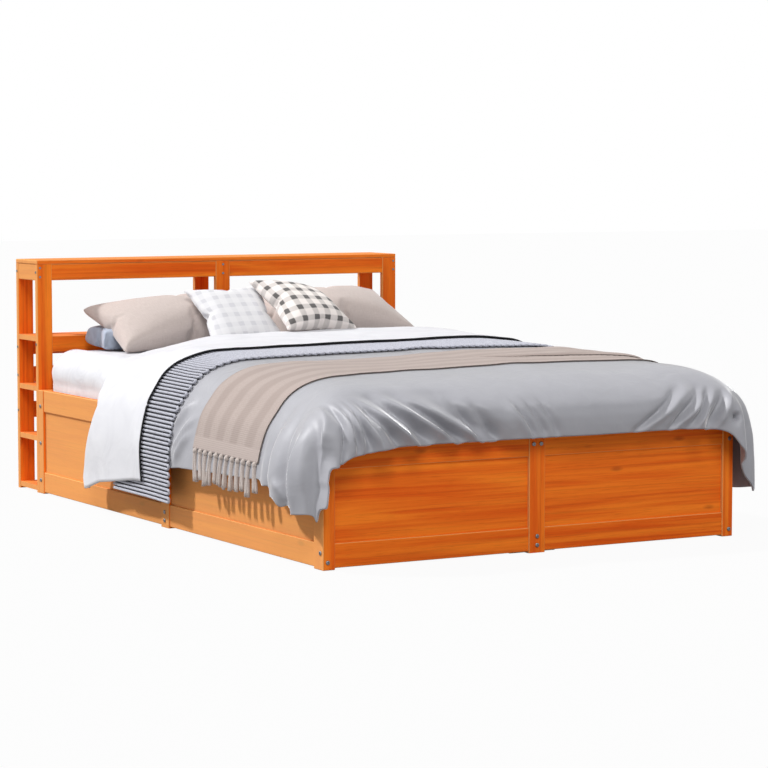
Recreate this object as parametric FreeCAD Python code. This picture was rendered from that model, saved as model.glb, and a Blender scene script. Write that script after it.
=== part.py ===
import FreeCAD, Part
import math
import os

# Double bed in pine with an open bookcase headboard, dressed with its bedding.
# Sizes are in millimetres. X runs across the bed, Y from the footboard towards the
# bookcase and Z up. The pieces are built with Y zero at the face of the footboard, and
# moved at the end so that the origin is on the floor under the middle of the bed.

# Mattress, and the room that the frame leaves round it
MATTRESS_WIDE = 1400.0
MATTRESS_LONG = 2000.0
MATTRESS_THICK = 180.0
MATTRESS_CORNER = 60.0
MATTRESS_EDGE = 12.0
MATTRESS_LEFT_ROUND = 115.0
MATTRESS_RIGHT_ROUND = 50.0
MATTRESS_FOOT_ROUND = 115.0
MATTRESS_SIDE_ROOM = 1.5
MATTRESS_HEAD_ROOM = 9.0

# Bed frame
SIDE_HEIGHT = 365.0
POST_WIDE = 57.0
POST_THICK = 40.0
STILE_WIDE = 57.0
RAIL_THICK = 22.0
RAIL_SET_BACK = 4.0
TOP_RAIL_HIGH = 76.0
BOTTOM_RAIL_HIGH = 71.0
FLOOR_GAP = 5.0
PANEL_THICK = 10.0
PANEL_SET_BACK = 6.0
GROOVE_DEPTH = 8.0
TENON_LONG = 10.0
TENON_SHOULDER = 12.0
HEAD_RAIL_HIGH = 74.0
HEAD_RAIL_LOW_MIDDLE = 48.0
HEAD_RAIL_TOP_BELOW_SIDE = 56.0
ARRIS = 3.0

# Clearances
FIT = 0.3
SEAT = 0.3
PANEL_ROOM = 1.0
END_GAP = 1.0
# How far a cut runs past the face that it opens
CUT_PAST = 1.0

# What carries the mattress
BATTEN_WIDE = 160.0
BATTEN_THICK = 15.0
FOOT_BATTEN_BELOW_SIDE = 15.0
SLATS_BELOW_SIDE = 38.0
SLAT_WIDE = 70.0
SLAT_THICK = 18.0
SLAT_COUNT = 14
SLAT_MARGIN = 15.0
LEDGER_HIGH = 40.0
LEDGER_THICK = 30.0
LEDGER_SCREW_INSET = 150.0
LEDGER_SCREW_BITE = 14.0
BEAM_WIDE = 40.0
BEAM_HIGH = 60.0
LEG_WIDE = 57.0
LEG_THICK = 40.0
LEG_INSET = 120.0

# Bookcase headboard
BOOKCASE_DEPTH = 195.0
BOOKCASE_HEIGHT = 820.0
BOOK_TOP_THICK = 14.0
BOOK_POST_WIDE = 57.0
BOOK_POST_THICK = 20.0
BOOK_RAIL_HIGH = 57.0
BOOK_RAIL_SET_BACK = 2.0
SHELF_THICK = 18.0
BOTTOM_SHELF_TOP = 25.0
SHELF_STEP = 176.0
BOOK_SCREW_HEIGHTS = (100.0, 260.0)

# Bolts, nuts, screws and dowels
BOLT_WIDE = 6.0
BOLT_HEAD_WIDE = 13.0
BOLT_HEAD_HIGH = 3.5
BOLT_HEAD_ROUND = 2.4
BOLT_KEY_WIDE = 4.0
BOLT_KEY_DEPTH = 2.0
BOLT_REACH = 45.0
BOLT_FROM_LOWER_EDGE = 18.0
BOLT_FROM_UPPER_EDGE = 26.0
STILE_BOLT_APART = 26.0
BARREL_NUT_WIDE = 10.0
BARREL_NUT_LONG = 16.0
BARREL_NUT_IN = 34.0
CAP_NUT_WIDE = 14.0
CAP_NUT_HIGH = 4.0
SCREW_WIDE = 4.0
SCREW_HEAD_WIDE = 8.0
SCREW_HEAD_HIGH = 2.0
SCREW_BITE = 30.0
CROSS_SCREW_APART = 32.0
DOWEL_WIDE = 8.0
DOWEL_IN_POST = 12.0
DOWEL_IN_SHELF = 18.0
DOWEL_IN_RAIL = 20.0
TOP_DOWEL_UP = 9.0
TOP_DOWEL_DOWN = 14.0
TOP_DOWEL_OFFSET = 16.0

# Duvet and throws
DUVET_THICK_AT_HEAD = 68.0
DUVET_THICK_AT_FOOT = 32.0
DUVET_FROM_BOOKCASE = 455.0
DROP_THICK = 30.0
DROP_GAP = 1.0
FOOT_OVERHANG = 28.0
FOOT_LIP = 18.0
FOOT_CORNER_WIDE = 45.0
# Reach of the duvet's rounded shoulders, over the top and down the face
DUVET_LEFT_OVER = 240.0
DUVET_LEFT_DOWN = 300.0
DUVET_RIGHT_OVER = 160.0
DUVET_RIGHT_DOWN = 170.0
DUVET_FOOT_OVER = 228.0
DUVET_FOOT_DOWN = 140.0
DUVET_FOOT_SAG = 12.0
# Height of the duvet's hem at distances from the footboard
DUVET_HEM = (
    (-20.0, 155.0), (60.0, 155.0), (300.0, 233.0), (786.0, 220.0), (1200.0, 147.0), (1640.0, 76.0),
)
THROW_GAP = 0.4
GREY_THROW_THICK = 6.0
GREY_THROW_FROM_DUVET_HEAD = 307.0
GREY_THROW_WIDE = 415.0
GREY_THROW_HEM = 95.0
BEIGE_THROW_THICK = 4.0
THROWS_APART = 162.0
BEIGE_THROW_WIDE = 440.0
BEIGE_THROW_HEM = 180.0
FAR_SIDE_HEM = 400.0

# Pillows and cushions: the left and right ends, and outlines seen from the side as distances
# in front of the bookcase and heights above the mattress
PILLOW_TAPER = 70.0
PILLOW_END_SHARE = 0.5
SMALL_PILLOW_ENDS = (-582.0, -30.0)
SMALL_PILLOW_SIDE = ((205.0, 0.6), (8.0, 0.6), (8.0, 79.0), (195.0, 27.8))
LEFT_PILLOW_ENDS = (-555.0, 5.0)
RIGHT_PILLOW_ENDS = (72.0, 662.0)
PILLOW_SIDE = (
    (333.0, 8.0), (295.0, 0.6), (8.0, 82.0), (8.0, 150.0),
    (55.0, 187.0), (135.0, 182.0), (295.0, 97.0),
)
CUSHION_PLUMP_FROM = 0.3
WHITE_CUSHION_ENDS = (-237.0, 95.0)
WHITE_CUSHION_FOOT = (449.0, 3.0)
WHITE_CUSHION_CREST = (216.0, 226.0)
WHITE_CUSHION_THICK = 76.0
PLAID_CUSHION_ENDS = (36.0, 371.0)
PLAID_CUSHION_FOOT = (509.0, 68.0)
PLAID_CUSHION_CREST = (270.0, 237.0)
PLAID_CUSHION_THICK = 76.0

# Places that follow from the sizes
stile_thick = RAIL_SET_BACK + RAIL_THICK
half_width = MATTRESS_WIDE / 2 + MATTRESS_SIDE_ROOM + stile_thick
batten_back = stile_thick + BATTEN_THICK
mattress_foot = batten_back + CAP_NUT_HIGH + END_GAP
mattress_head = mattress_foot + MATTRESS_LONG
head_post_front = mattress_head + MATTRESS_HEAD_ROOM
bed_length = head_post_front + POST_THICK
rail_middle = RAIL_SET_BACK + RAIL_THICK / 2
panel_front = RAIL_SET_BACK + PANEL_SET_BACK
panel_back = panel_front + PANEL_THICK
bottom_rail_top = FLOOR_GAP + BOTTOM_RAIL_HIGH
top_rail_bottom = SIDE_HEIGHT - TOP_RAIL_HIGH
rail_levels = ((FLOOR_GAP, bottom_rail_top), (top_rail_bottom, SIDE_HEIGHT))
side_middle = (POST_WIDE + head_post_front) / 2
head_rail_top_middle = SIDE_HEIGHT - HEAD_RAIL_TOP_BELOW_SIDE
head_rail_half_way = (HEAD_RAIL_LOW_MIDDLE + head_rail_top_middle) / 2
head_rail_middles = (HEAD_RAIL_LOW_MIDDLE, head_rail_half_way, head_rail_top_middle)
slat_top = SIDE_HEIGHT - SLATS_BELOW_SIDE
ledger_top = slat_top - SLAT_THICK
ledger_bottom = ledger_top - LEDGER_HIGH
beam_bottom = ledger_top - BEAM_HIGH
book_front = bed_length
book_back = bed_length + BOOKCASE_DEPTH
book_top_bottom = BOOKCASE_HEIGHT - BOOK_TOP_THICK
shelf_front = book_front + BOOK_POST_THICK
shelf_back = book_back - BOOK_POST_THICK
book_rail_thick = BOOK_POST_THICK - BOOK_RAIL_SET_BACK
shelf_tops = [BOTTOM_SHELF_TOP + level * SHELF_STEP for level in range(4)]
upper_shelf_top = shelf_tops[3]
mattress_top = slat_top + SEAT + MATTRESS_THICK
duvet_foot_top = mattress_top + SEAT + DUVET_THICK_AT_FOOT
duvet_head = book_front - DUVET_FROM_BOOKCASE
duvet_swell = DUVET_THICK_AT_HEAD - DUVET_THICK_AT_FOOT
duvet_rise = duvet_swell / duvet_head
grey_throw_start = duvet_head - GREY_THROW_FROM_DUVET_HEAD - GREY_THROW_WIDE
beige_throw_start = grey_throw_start - THROWS_APART - BEIGE_THROW_WIDE
drop_clear = BOLT_HEAD_HIGH + DROP_GAP
drop_inside = half_width + drop_clear
drop_outside = drop_inside + DROP_THICK
middle_of_bed = (book_back + SCREW_HEAD_HIGH - FOOT_OVERHANG) / 2

ACROSS = FreeCAD.Vector(1, 0, 0)
ALONG = FreeCAD.Vector(0, 1, 0)
UP = FreeCAD.Vector(0, 0, 1)
ORIGIN = FreeCAD.Vector(0, 0, 0)
# Share of a corner's leg at which a cubic curve's inner pole makes a quarter of an ellipse
QUARTER_POLE = 4 * (math.sqrt(2) - 1) / 3

nodes = {}
bolts = []
nuts = []
screws = []
dowels = []


def block(x0, x1, y0, y1, z0, z1):
    """A plain block between two corners, given in any order."""
    corner = FreeCAD.Vector(min(x0, x1), min(y0, y1), min(z0, z1))
    return Part.makeBox(abs(x1 - x0), abs(y1 - y0), abs(z1 - z0), corner)


def eased(shape, *directions):
    """Round the edges of a block that run in the given directions."""
    picked = []
    for edge in shape.Edges:
        run = (edge.Vertexes[1].Point - edge.Vertexes[0].Point).normalize()
        if any(abs(run.dot(direction)) > 0.99 for direction in directions):
            picked.append(edge)
    return shape.makeFillet(ARRIS, picked)


def mirrored(shape):
    """The same piece on the other side of the bed."""
    return shape.mirror(ORIGIN, ACROSS)


def pair(name, shape):
    """Keep a right-hand piece and its left-hand twin."""
    nodes[name + "_right"] = shape
    nodes[name + "_left"] = mirrored(shape)


def on_right_side(shape):
    """Turn a piece that was built like the footboard into the bed's right side."""
    turned = shape.copy()
    turned.rotate(ORIGIN, UP, 90)
    turned.translate(ACROSS * half_width)
    return turned


def rod(start, direction, width, length):
    """A round bar from a point in a direction."""
    return Part.makeCylinder(width / 2, length, start, direction)


def hole(start, direction, width, length):
    """A round cut that also opens the face it starts from and clears the far end."""
    return rod(start - direction * CUT_PAST, direction, width + 2 * FIT, length + 2 * CUT_PAST)


def drill(names, tool):
    """Cut one tool out of several pieces."""
    for name in names:
        nodes[name] = nodes[name].cut(tool)


def sockets(face, inward):
    """The mortises and the panel groove in the edge of an upright."""
    front = panel_front - FIT
    back = panel_back + FIT
    start = face - inward * CUT_PAST
    tools = []
    for low, high in rail_levels:
        end = face + inward * (TENON_LONG + FIT)
        tools.append(block(start, end, front, back, low + TENON_SHOULDER - FIT, high - TENON_SHOULDER + FIT))
    groove_low = bottom_rail_top - GROOVE_DEPTH
    groove_high = top_rail_bottom + GROOVE_DEPTH
    tools.append(block(start, face + inward * GROOVE_DEPTH, front, back, groove_low, groove_high))
    return Part.makeCompound(tools)


def rail(start, end, low, high, panel_edge):
    """A rail with a stub tenon on each end and a groove along the edge that holds the panel."""
    body = eased(block(start, end, RAIL_SET_BACK, stile_thick, low, high), ACROSS)
    tenon_low = low + TENON_SHOULDER
    tenon_high = high - TENON_SHOULDER
    tenons = block(start - TENON_LONG, end + TENON_LONG, panel_front, panel_back, tenon_low, tenon_high)
    groove_low = panel_edge - GROOVE_DEPTH
    groove_high = panel_edge + GROOVE_DEPTH
    groove_start = start - CUT_PAST
    groove_end = end + CUT_PAST
    groove = block(groove_start, groove_end, panel_front - FIT, panel_back + FIT, groove_low, groove_high)
    return body.fuse(tenons).cut(groove)


def panel(start, end):
    """A panel that fills one bay and stands in its grooves."""
    tongue = GROOVE_DEPTH - PANEL_ROOM
    low = bottom_rail_top - tongue
    high = top_rail_bottom + tongue
    return block(start - tongue, end + tongue, panel_front, panel_back, low, high)


def bay(start, end):
    """The bottom rail, top rail and panel between two uprights."""
    bottom = rail(start, end, FLOOR_GAP, bottom_rail_top, bottom_rail_top)
    top = rail(start, end, top_rail_bottom, SIDE_HEIGHT, top_rail_bottom)
    return bottom, top, panel(start, end)


def bolt(start, direction, length):
    """A button-headed bolt with a key socket, its head standing on the face at the start."""
    head = Part.makeCylinder(BOLT_HEAD_WIDE / 2, BOLT_HEAD_HIGH)
    rim = [edge for edge in head.Edges if edge.BoundBox.ZMin > BOLT_HEAD_HIGH / 2]
    head = head.makeFillet(BOLT_HEAD_ROUND, rim)
    corners = []
    for corner in range(7):
        turn = math.radians(60 * corner)
        reach = BOLT_KEY_WIDE / math.sqrt(3)
        corners.append(FreeCAD.Vector(reach * math.cos(turn), reach * math.sin(turn), BOLT_HEAD_HIGH))
    key = Part.Face(Part.makePolygon(corners)).extrude(UP * -BOLT_KEY_DEPTH)
    shank = rod(ORIGIN, UP * -1, BOLT_WIDE, length)
    whole = head.cut(key).fuse(shank)
    whole.Placement = FreeCAD.Placement(start, FreeCAD.Rotation(UP * -1, direction))
    return whole


def bolt_rail(upright, rail_name, start, direction, thickness, inner, both_sides=True):
    """Bolt a rail's end through an upright, into a barrel nut pushed in from the rail's inner face."""
    length = thickness + BOLT_REACH
    path = hole(start, direction, BOLT_WIDE, length)
    nut_face = start + direction * (thickness + BARREL_NUT_IN) + inner * (RAIL_THICK / 2)
    nut_hole = hole(nut_face, inner * -1, BARREL_NUT_WIDE, BARREL_NUT_LONG)
    drill([upright, rail_name], path)
    drill([rail_name], nut_hole)
    new_bolt = bolt(start, direction, length)
    new_nut = rod(nut_face, inner * -1, BARREL_NUT_WIDE, BARREL_NUT_LONG).cut(path)
    bolts.append(new_bolt)
    nuts.append(new_nut)
    if both_sides:
        bolts.append(mirrored(new_bolt))
        nuts.append(mirrored(new_nut))


def bolt_stile(stile, batten, start, direction, both_sides):
    """Bolt a stile to the batten behind it, with a cap nut on the back."""
    length = stile_thick + BATTEN_THICK
    path = hole(start, direction, BOLT_WIDE, length + CAP_NUT_HIGH)
    drill([stile, batten], path)
    new_bolt = bolt(start, direction, length)
    new_nut = rod(start + direction * length, direction, CAP_NUT_WIDE, CAP_NUT_HIGH)
    bolts.append(new_bolt)
    nuts.append(new_nut)
    if both_sides:
        bolts.append(mirrored(new_bolt))
        nuts.append(mirrored(new_nut))


def screw(names, start, direction, length, both_sides=True):
    """A pan-headed screw through one piece into the next."""
    drill(names, hole(start, direction, SCREW_WIDE, length))
    head = rod(start - direction * SCREW_HEAD_HIGH, direction, SCREW_HEAD_WIDE, SCREW_HEAD_HIGH)
    whole = head.fuse(rod(start, direction, SCREW_WIDE, length))
    screws.append(whole)
    if both_sides:
        screws.append(mirrored(whole))


def dowel(names, start, direction, length, both_sides=True):
    """A dowel in holes a little longer than itself."""
    drill(names, hole(start, direction, DOWEL_WIDE, length))
    whole = rod(start, direction, DOWEL_WIDE, length)
    dowels.append(whole)
    if both_sides:
        dowels.append(mirrored(whole))


# Footboard: posts at the corners, a stile in the middle, and a bay on each side of it
foot_bay_start = STILE_WIDE / 2
foot_bay_end = half_width - POST_THICK
foot_post = eased(block(foot_bay_end, half_width, 0, POST_WIDE, 0, SIDE_HEIGHT), ACROSS, ALONG, UP)
foot_post = foot_post.cut(sockets(foot_bay_end, 1))
nodes["foot_post"] = foot_post.cut(on_right_side(sockets(POST_WIDE, -1)))
foot_stile = eased(block(-foot_bay_start, foot_bay_start, 0, stile_thick, 0, SIDE_HEIGHT), UP)
foot_socket = sockets(foot_bay_start, -1)
nodes["foot_stile"] = foot_stile.cut(foot_socket).cut(mirrored(foot_socket))
nodes["foot_bottom_rail"], nodes["foot_top_rail"], nodes["foot_panel"] = bay(foot_bay_start, foot_bay_end)

# Sides: a stile half way along, and a bay towards the foot and another towards the head
side_bays = {
    "foot": (POST_WIDE, side_middle - STILE_WIDE / 2),
    "head": (side_middle + STILE_WIDE / 2, head_post_front),
}
side_stile = eased(block(side_bays["foot"][1], side_bays["head"][0], 0, stile_thick, 0, SIDE_HEIGHT), UP)
side_stile = side_stile.cut(sockets(side_bays["foot"][1], 1)).cut(sockets(side_bays["head"][0], -1))
nodes["side_stile"] = on_right_side(side_stile)
for end_name, (bay_start, bay_end) in side_bays.items():
    bottom, top, board = bay(bay_start, bay_end)
    nodes["side_bottom_rail_" + end_name] = on_right_side(bottom)
    nodes["side_top_rail_" + end_name] = on_right_side(top)
    nodes["side_panel_" + end_name] = on_right_side(board)

# Head end: two posts of the same stock, turned, with three plain cross rails between them
head_inside = half_width - POST_WIDE
head_post = block(head_inside, half_width, head_post_front, bed_length, 0, SIDE_HEIGHT)
head_post = eased(head_post, ACROSS, ALONG, UP)
nodes["head_post"] = head_post.cut(on_right_side(sockets(head_post_front, 1)))
head_rail_middle = head_post_front + POST_THICK / 2
head_rail_front = head_rail_middle - RAIL_THICK / 2
head_rail_back = head_rail_middle + RAIL_THICK / 2
head_rail_names = []
for number, middle in enumerate(head_rail_middles):
    name = "head_rail_" + str(number)
    head_rail_names.append(name)
    low = middle - HEAD_RAIL_HIGH / 2
    high = middle + HEAD_RAIL_HIGH / 2
    body = eased(block(-head_inside, head_inside, head_rail_front, head_rail_back, low, high), ACROSS)
    tenon_end = head_inside + TENON_LONG
    tenon_front = head_rail_middle - PANEL_THICK / 2
    tenon_back = head_rail_middle + PANEL_THICK / 2
    tenon_low = low + TENON_SHOULDER
    tenon_high = high - TENON_SHOULDER
    nodes[name] = body.fuse(block(-tenon_end, tenon_end, tenon_front, tenon_back, tenon_low, tenon_high))
    mortise = block(head_inside - CUT_PAST, tenon_end + FIT, tenon_front - FIT, tenon_back + FIT,
                    tenon_low - FIT, tenon_high + FIT)
    drill(["head_post"], mortise)

# Battens behind the stiles, which the stile bolts pull against
foot_batten_top = SIDE_HEIGHT - FOOT_BATTEN_BELOW_SIDE
nodes["foot_batten"] = block(-BATTEN_WIDE / 2, BATTEN_WIDE / 2, stile_thick, batten_back, 0, foot_batten_top)
nodes["side_batten"] = block(half_width - batten_back, half_width - stile_thick,
                             side_middle - BATTEN_WIDE / 2, side_middle + BATTEN_WIDE / 2,
                             0, ledger_bottom - SEAT)

# Ledgers on the sides, the centre beam on its legs, and the slats across them
ledger_inside = half_width - stile_thick - LEDGER_THICK
ledger_start = POST_WIDE + END_GAP
ledger_end = head_post_front - END_GAP
ledger_outside = half_width - stile_thick
nodes["ledger"] = block(ledger_inside, ledger_outside, ledger_start, ledger_end, ledger_bottom, ledger_top)
beam_start = batten_back + CAP_NUT_HIGH + END_GAP
beam_end = head_rail_front - END_GAP
centre_beam = block(-BEAM_WIDE / 2, BEAM_WIDE / 2, beam_start, beam_end, beam_bottom, ledger_top)
nodes["centre_beam"] = eased(centre_beam, ALONG)
legs = []
for leg_middle in (beam_start + LEG_INSET, (beam_start + beam_end) / 2, beam_end - LEG_INSET):
    leg_front = leg_middle - LEG_THICK / 2
    leg = block(-LEG_WIDE / 2, LEG_WIDE / 2, leg_front, leg_front + LEG_THICK, 0, beam_bottom)
    legs.append(eased(leg, UP))
nodes["beam_legs"] = Part.makeCompound(legs)
slat_reach = half_width - stile_thick - 2 * END_GAP
first_slat = POST_WIDE + SLAT_MARGIN
slat_step = (head_post_front - SLAT_MARGIN - SLAT_WIDE - first_slat) / (SLAT_COUNT - 1)
slats = []
for number in range(SLAT_COUNT):
    slat_start = first_slat + number * slat_step
    slat = block(-slat_reach, slat_reach, slat_start, slat_start + SLAT_WIDE, ledger_top, slat_top)
    slats.append(eased(slat, ACROSS))
nodes["slats"] = Part.makeCompound(slats)

# Bookcase: three front posts, three back posts, rails between them, four shelves and a top
book_post_outer = half_width - BOOK_POST_WIDE / 2
book_post_inner = half_width - BOOK_POST_WIDE
book_places = {"right": book_post_outer, "centre": 0.0}
for place, middle in book_places.items():
    left = middle - BOOK_POST_WIDE / 2
    right = middle + BOOK_POST_WIDE / 2
    front_post = eased(block(left, right, book_front, shelf_front, 0, book_top_bottom), UP)
    back_post = eased(block(left, right, shelf_back, book_back, 0, book_top_bottom), UP)
    nodes["front_post_" + place] = front_post
    nodes["back_post_" + place] = back_post
book_top = block(-half_width, half_width, book_front, book_back, book_top_bottom, BOOKCASE_HEIGHT)
nodes["bookcase_top"] = eased(book_top, ACROSS, ALONG, UP)
shelf_names = []
for level_name, shelf_top in zip(("bottom", "lower", "middle", "upper"), shelf_tops):
    shelf_reach = half_width - BOOK_RAIL_SET_BACK
    name = "bookcase_shelf_" + level_name
    shelf_names.append(name)
    shelf_bottom = shelf_top - SHELF_THICK
    nodes[name] = block(-shelf_reach, shelf_reach, shelf_front, shelf_back, shelf_bottom, shelf_top)

# Bookcase rails, each named with the height of its middle
top_rail_middle = book_top_bottom - BOOK_RAIL_HIGH / 2
shelf_rail_middle = upper_shelf_top - BOOK_RAIL_HIGH / 2
front_rail_middles = {"front_rail": top_rail_middle, "shelf_rail": shelf_rail_middle}
lower_bay_middle = (shelf_tops[1] + shelf_tops[2] - SHELF_THICK) / 2
back_rail_middles = {
    "back_rail_top": top_rail_middle,
    "back_rail_upper": upper_shelf_top - SHELF_THICK - BOOK_RAIL_HIGH / 2,
    "back_rail_middle": shelf_tops[2] + BOOK_RAIL_HIGH / 2,
    "back_rail_lower": lower_bay_middle,
}
front_rail_middle_y = shelf_front - book_rail_thick / 2
back_rail_middle_y = shelf_back + book_rail_thick / 2
for middles, middle_y in ((front_rail_middles, front_rail_middle_y), (back_rail_middles, back_rail_middle_y)):
    for name, middle in middles.items():
        rail_front = middle_y - book_rail_thick / 2
        rail_back = middle_y + book_rail_thick / 2
        low = middle - BOOK_RAIL_HIGH / 2
        high = middle + BOOK_RAIL_HIGH / 2
        book_rail = block(BOOK_POST_WIDE / 2, book_post_inner, rail_front, rail_back, low, high)
        nodes[name] = eased(book_rail, ACROSS)
cross_low = book_top_bottom - BOOK_RAIL_HIGH
cross_outer = half_width - BOOK_RAIL_SET_BACK
cross_middles = {"right": cross_outer - book_rail_thick / 2, "centre": 0.0}
for place, middle in cross_middles.items():
    left = middle - book_rail_thick / 2
    right = middle + book_rail_thick / 2
    cross_rail = block(left, right, shelf_front, shelf_back, cross_low, book_top_bottom)
    nodes["cross_rail_" + place] = eased(cross_rail, ALONG)

# Bolts through the foot posts into the rails of the footboard and the sides
side_line = half_width - rail_middle
for kind, (low, high) in zip(("bottom", "top"), rail_levels):
    upper = high - BOLT_FROM_UPPER_EDGE
    lower = low + BOLT_FROM_LOWER_EDGE
    bolt_rail("foot_post", "foot_" + kind + "_rail", FreeCAD.Vector(half_width, rail_middle, upper),
              ACROSS * -1, POST_THICK, ALONG)
    bolt_rail("foot_post", "side_" + kind + "_rail_foot", FreeCAD.Vector(side_line, 0, lower),
              ALONG, POST_WIDE, ACROSS * -1)

# Bolts from the back of the head posts into the side rails, with their heads sunk
sunk = BOLT_HEAD_HIGH + FIT
head_bolt_heights = {
    "bottom": FLOOR_GAP + BOLT_FROM_LOWER_EDGE,
    "top": SIDE_HEIGHT - BOLT_FROM_UPPER_EDGE,
}
for kind, height in head_bolt_heights.items():
    seat = FreeCAD.Vector(side_line, bed_length - sunk, height)
    bolt_rail("head_post", "side_" + kind + "_rail_head", seat, ALONG * -1, POST_THICK - sunk, ACROSS * -1)
    drill(["head_post"], rod(seat, ALONG, BOLT_HEAD_WIDE + 2 * FIT, sunk + CUT_PAST))

# Bolts through the sides of the head posts into the three cross rails
for name, middle in zip(head_rail_names, head_rail_middles):
    start = FreeCAD.Vector(half_width, head_rail_middle, middle)
    bolt_rail("head_post", name, start, ACROSS * -1, POST_WIDE, ALONG)
    far_path = hole(start, ACROSS * -1, BOLT_WIDE, POST_WIDE + BOLT_REACH)
    nut_face = start - ACROSS * (POST_WIDE + BARREL_NUT_IN) + ALONG * (RAIL_THICK / 2)
    far_nut = hole(nut_face, ALONG * -1, BARREL_NUT_WIDE, BARREL_NUT_LONG)
    drill([name], mirrored(far_path))
    drill([name], mirrored(far_nut))

# Bolts through the stiles into the battens
stile_bolt_heights = (FLOOR_GAP + BOLT_FROM_LOWER_EDGE, bottom_rail_top - BOLT_FROM_UPPER_EDGE)
for height in stile_bolt_heights:
    bolt_stile("foot_stile", "foot_batten", FreeCAD.Vector(0, 0, height), ALONG, False)
    side_face = FreeCAD.Vector(half_width, side_middle, height)
    bolt_stile("side_stile", "side_batten", side_face, ACROSS * -1, True)
upper_pair_height = (top_rail_bottom + SIDE_HEIGHT) / 2
for offset in (-STILE_BOLT_APART / 2, STILE_BOLT_APART / 2):
    bolt_stile("foot_stile", "foot_batten", FreeCAD.Vector(offset, 0, upper_pair_height), ALONG, False)

# Screws that hold the ledgers to the top rails
ledger_screw_height = (max(top_rail_bottom, ledger_bottom) + ledger_top) / 2
for end_name, (bay_start, bay_end) in side_bays.items():
    for place in (bay_start + LEDGER_SCREW_INSET, bay_end - LEDGER_SCREW_INSET):
        start = FreeCAD.Vector(ledger_inside, place, ledger_screw_height)
        screw(["ledger", "side_top_rail_" + end_name], start, ACROSS, LEDGER_THICK + LEDGER_SCREW_BITE)

# Screws through the bookcase's end posts into its rails, and dowels through its centre posts
screw_long = BOOK_POST_WIDE + SCREW_BITE
through_dowel = BOOK_POST_WIDE / 2 + DOWEL_IN_RAIL
for middles, middle_y, row in ((front_rail_middles, front_rail_middle_y, "front_post_"),
                               (back_rail_middles, back_rail_middle_y, "back_post_")):
    for name, middle in middles.items():
        screw([row + "right", name], FreeCAD.Vector(half_width, middle_y, middle), ACROSS * -1, screw_long)
        start = FreeCAD.Vector(-through_dowel, middle_y, middle)
        dowel([row + "centre", name], start, ACROSS, 2 * through_dowel, False)

# Screws through the posts into the cross rails under the top
for place, middle in cross_middles.items():
    for shift in (-CROSS_SCREW_APART / 2, CROSS_SCREW_APART / 2):
        height = top_rail_middle + shift
        long = BOOK_POST_THICK + SCREW_BITE
        front_start = FreeCAD.Vector(middle, book_front, height)
        back_start = FreeCAD.Vector(middle, book_back, height)
        screw(["front_post_" + place, "cross_rail_" + place], front_start, ALONG, long, place == "right")
        screw(["back_post_" + place, "cross_rail_" + place], back_start, ALONG * -1, long, place == "right")

# Dowels between shelves and posts, and between posts and top
for place, middle in book_places.items():
    twin = place == "right"
    for name, shelf_top in zip(shelf_names, shelf_tops):
        height = shelf_top - SHELF_THICK / 2
        long = DOWEL_IN_POST + DOWEL_IN_SHELF
        front_start = FreeCAD.Vector(middle, shelf_front - DOWEL_IN_POST, height)
        back_start = FreeCAD.Vector(middle, shelf_back + DOWEL_IN_POST, height)
        dowel(["front_post_" + place, name], front_start, ALONG, long, twin)
        dowel(["back_post_" + place, name], back_start, ALONG * -1, long, twin)
        if twin:
            drill([name], mirrored(hole(front_start, ALONG, DOWEL_WIDE, long)))
            drill([name], mirrored(hole(back_start, ALONG * -1, DOWEL_WIDE, long)))
    for row, middle_y in (("front_post_", front_rail_middle_y), ("back_post_", back_rail_middle_y)):
        start = FreeCAD.Vector(middle - TOP_DOWEL_OFFSET, middle_y, book_top_bottom - TOP_DOWEL_DOWN)
        long = TOP_DOWEL_DOWN + TOP_DOWEL_UP
        dowel([row + place, "bookcase_top"], start, UP, long, twin)
        if twin:
            drill(["bookcase_top"], mirrored(hole(start, UP, DOWEL_WIDE, long)))

# Screws that tie the bookcase's front posts to the head posts
for height in BOOK_SCREW_HEIGHTS:
    start = FreeCAD.Vector(book_post_outer, shelf_front, height)
    screw(["front_post_right", "head_post"], start, ALONG * -1, BOOK_POST_THICK + SCREW_BITE)


def outline_face(corners, place):
    """A face from corners of two numbers, with two more where a corner is rounded: how far the
    curve reaches back along the edge before it, and on along the edge after it."""
    points = [place(corner[0], corner[1]) for corner in corners]
    edges = []
    ends = []
    for number, corner in enumerate(corners):
        before, after = corner[2:] or (0.0, 0.0)
        point = points[number]
        back = points[number - 1] - point
        onward = points[(number + 1) % len(points)] - point
        first = point + back * (before / back.Length)
        last = point + onward * (after / onward.Length)
        ends.append((first, last))
        if before:
            curve = Part.BezierCurve()
            first_pole = first + (point - first) * QUARTER_POLE
            last_pole = last + (point - last) * QUARTER_POLE
            curve.setPoles([first, first_pole, last_pole, last])
            edges.append(curve.toShape())
    for number in range(len(corners)):
        edges.append(Part.makeLine(ends[number - 1][1], ends[number][0]))
    return Part.Face(Part.Wire(Part.__sortEdges__(edges)))


def prism_along(corners, start, end, rise):
    """A prism along the bed from X and Z corners at the footboard, rising by a share of its run."""
    run = ALONG + UP * rise
    face = outline_face(corners, lambda x, z: FreeCAD.Vector(x, 0, z) + run * start)
    return face.extrude(run * (end - start))


def prism_across(corners, start, end):
    """A prism that runs across the bed, from Y and Z corners."""
    face = outline_face(corners, lambda y, z: FreeCAD.Vector(start, y, z))
    return face.extrude(ACROSS * (end - start))


def prism_up(corners, low, high):
    """A prism that stands upright, from X and Y corners."""
    face = outline_face(corners, lambda x, y: FreeCAD.Vector(x, y, low))
    return face.extrude(UP * (high - low))


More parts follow.
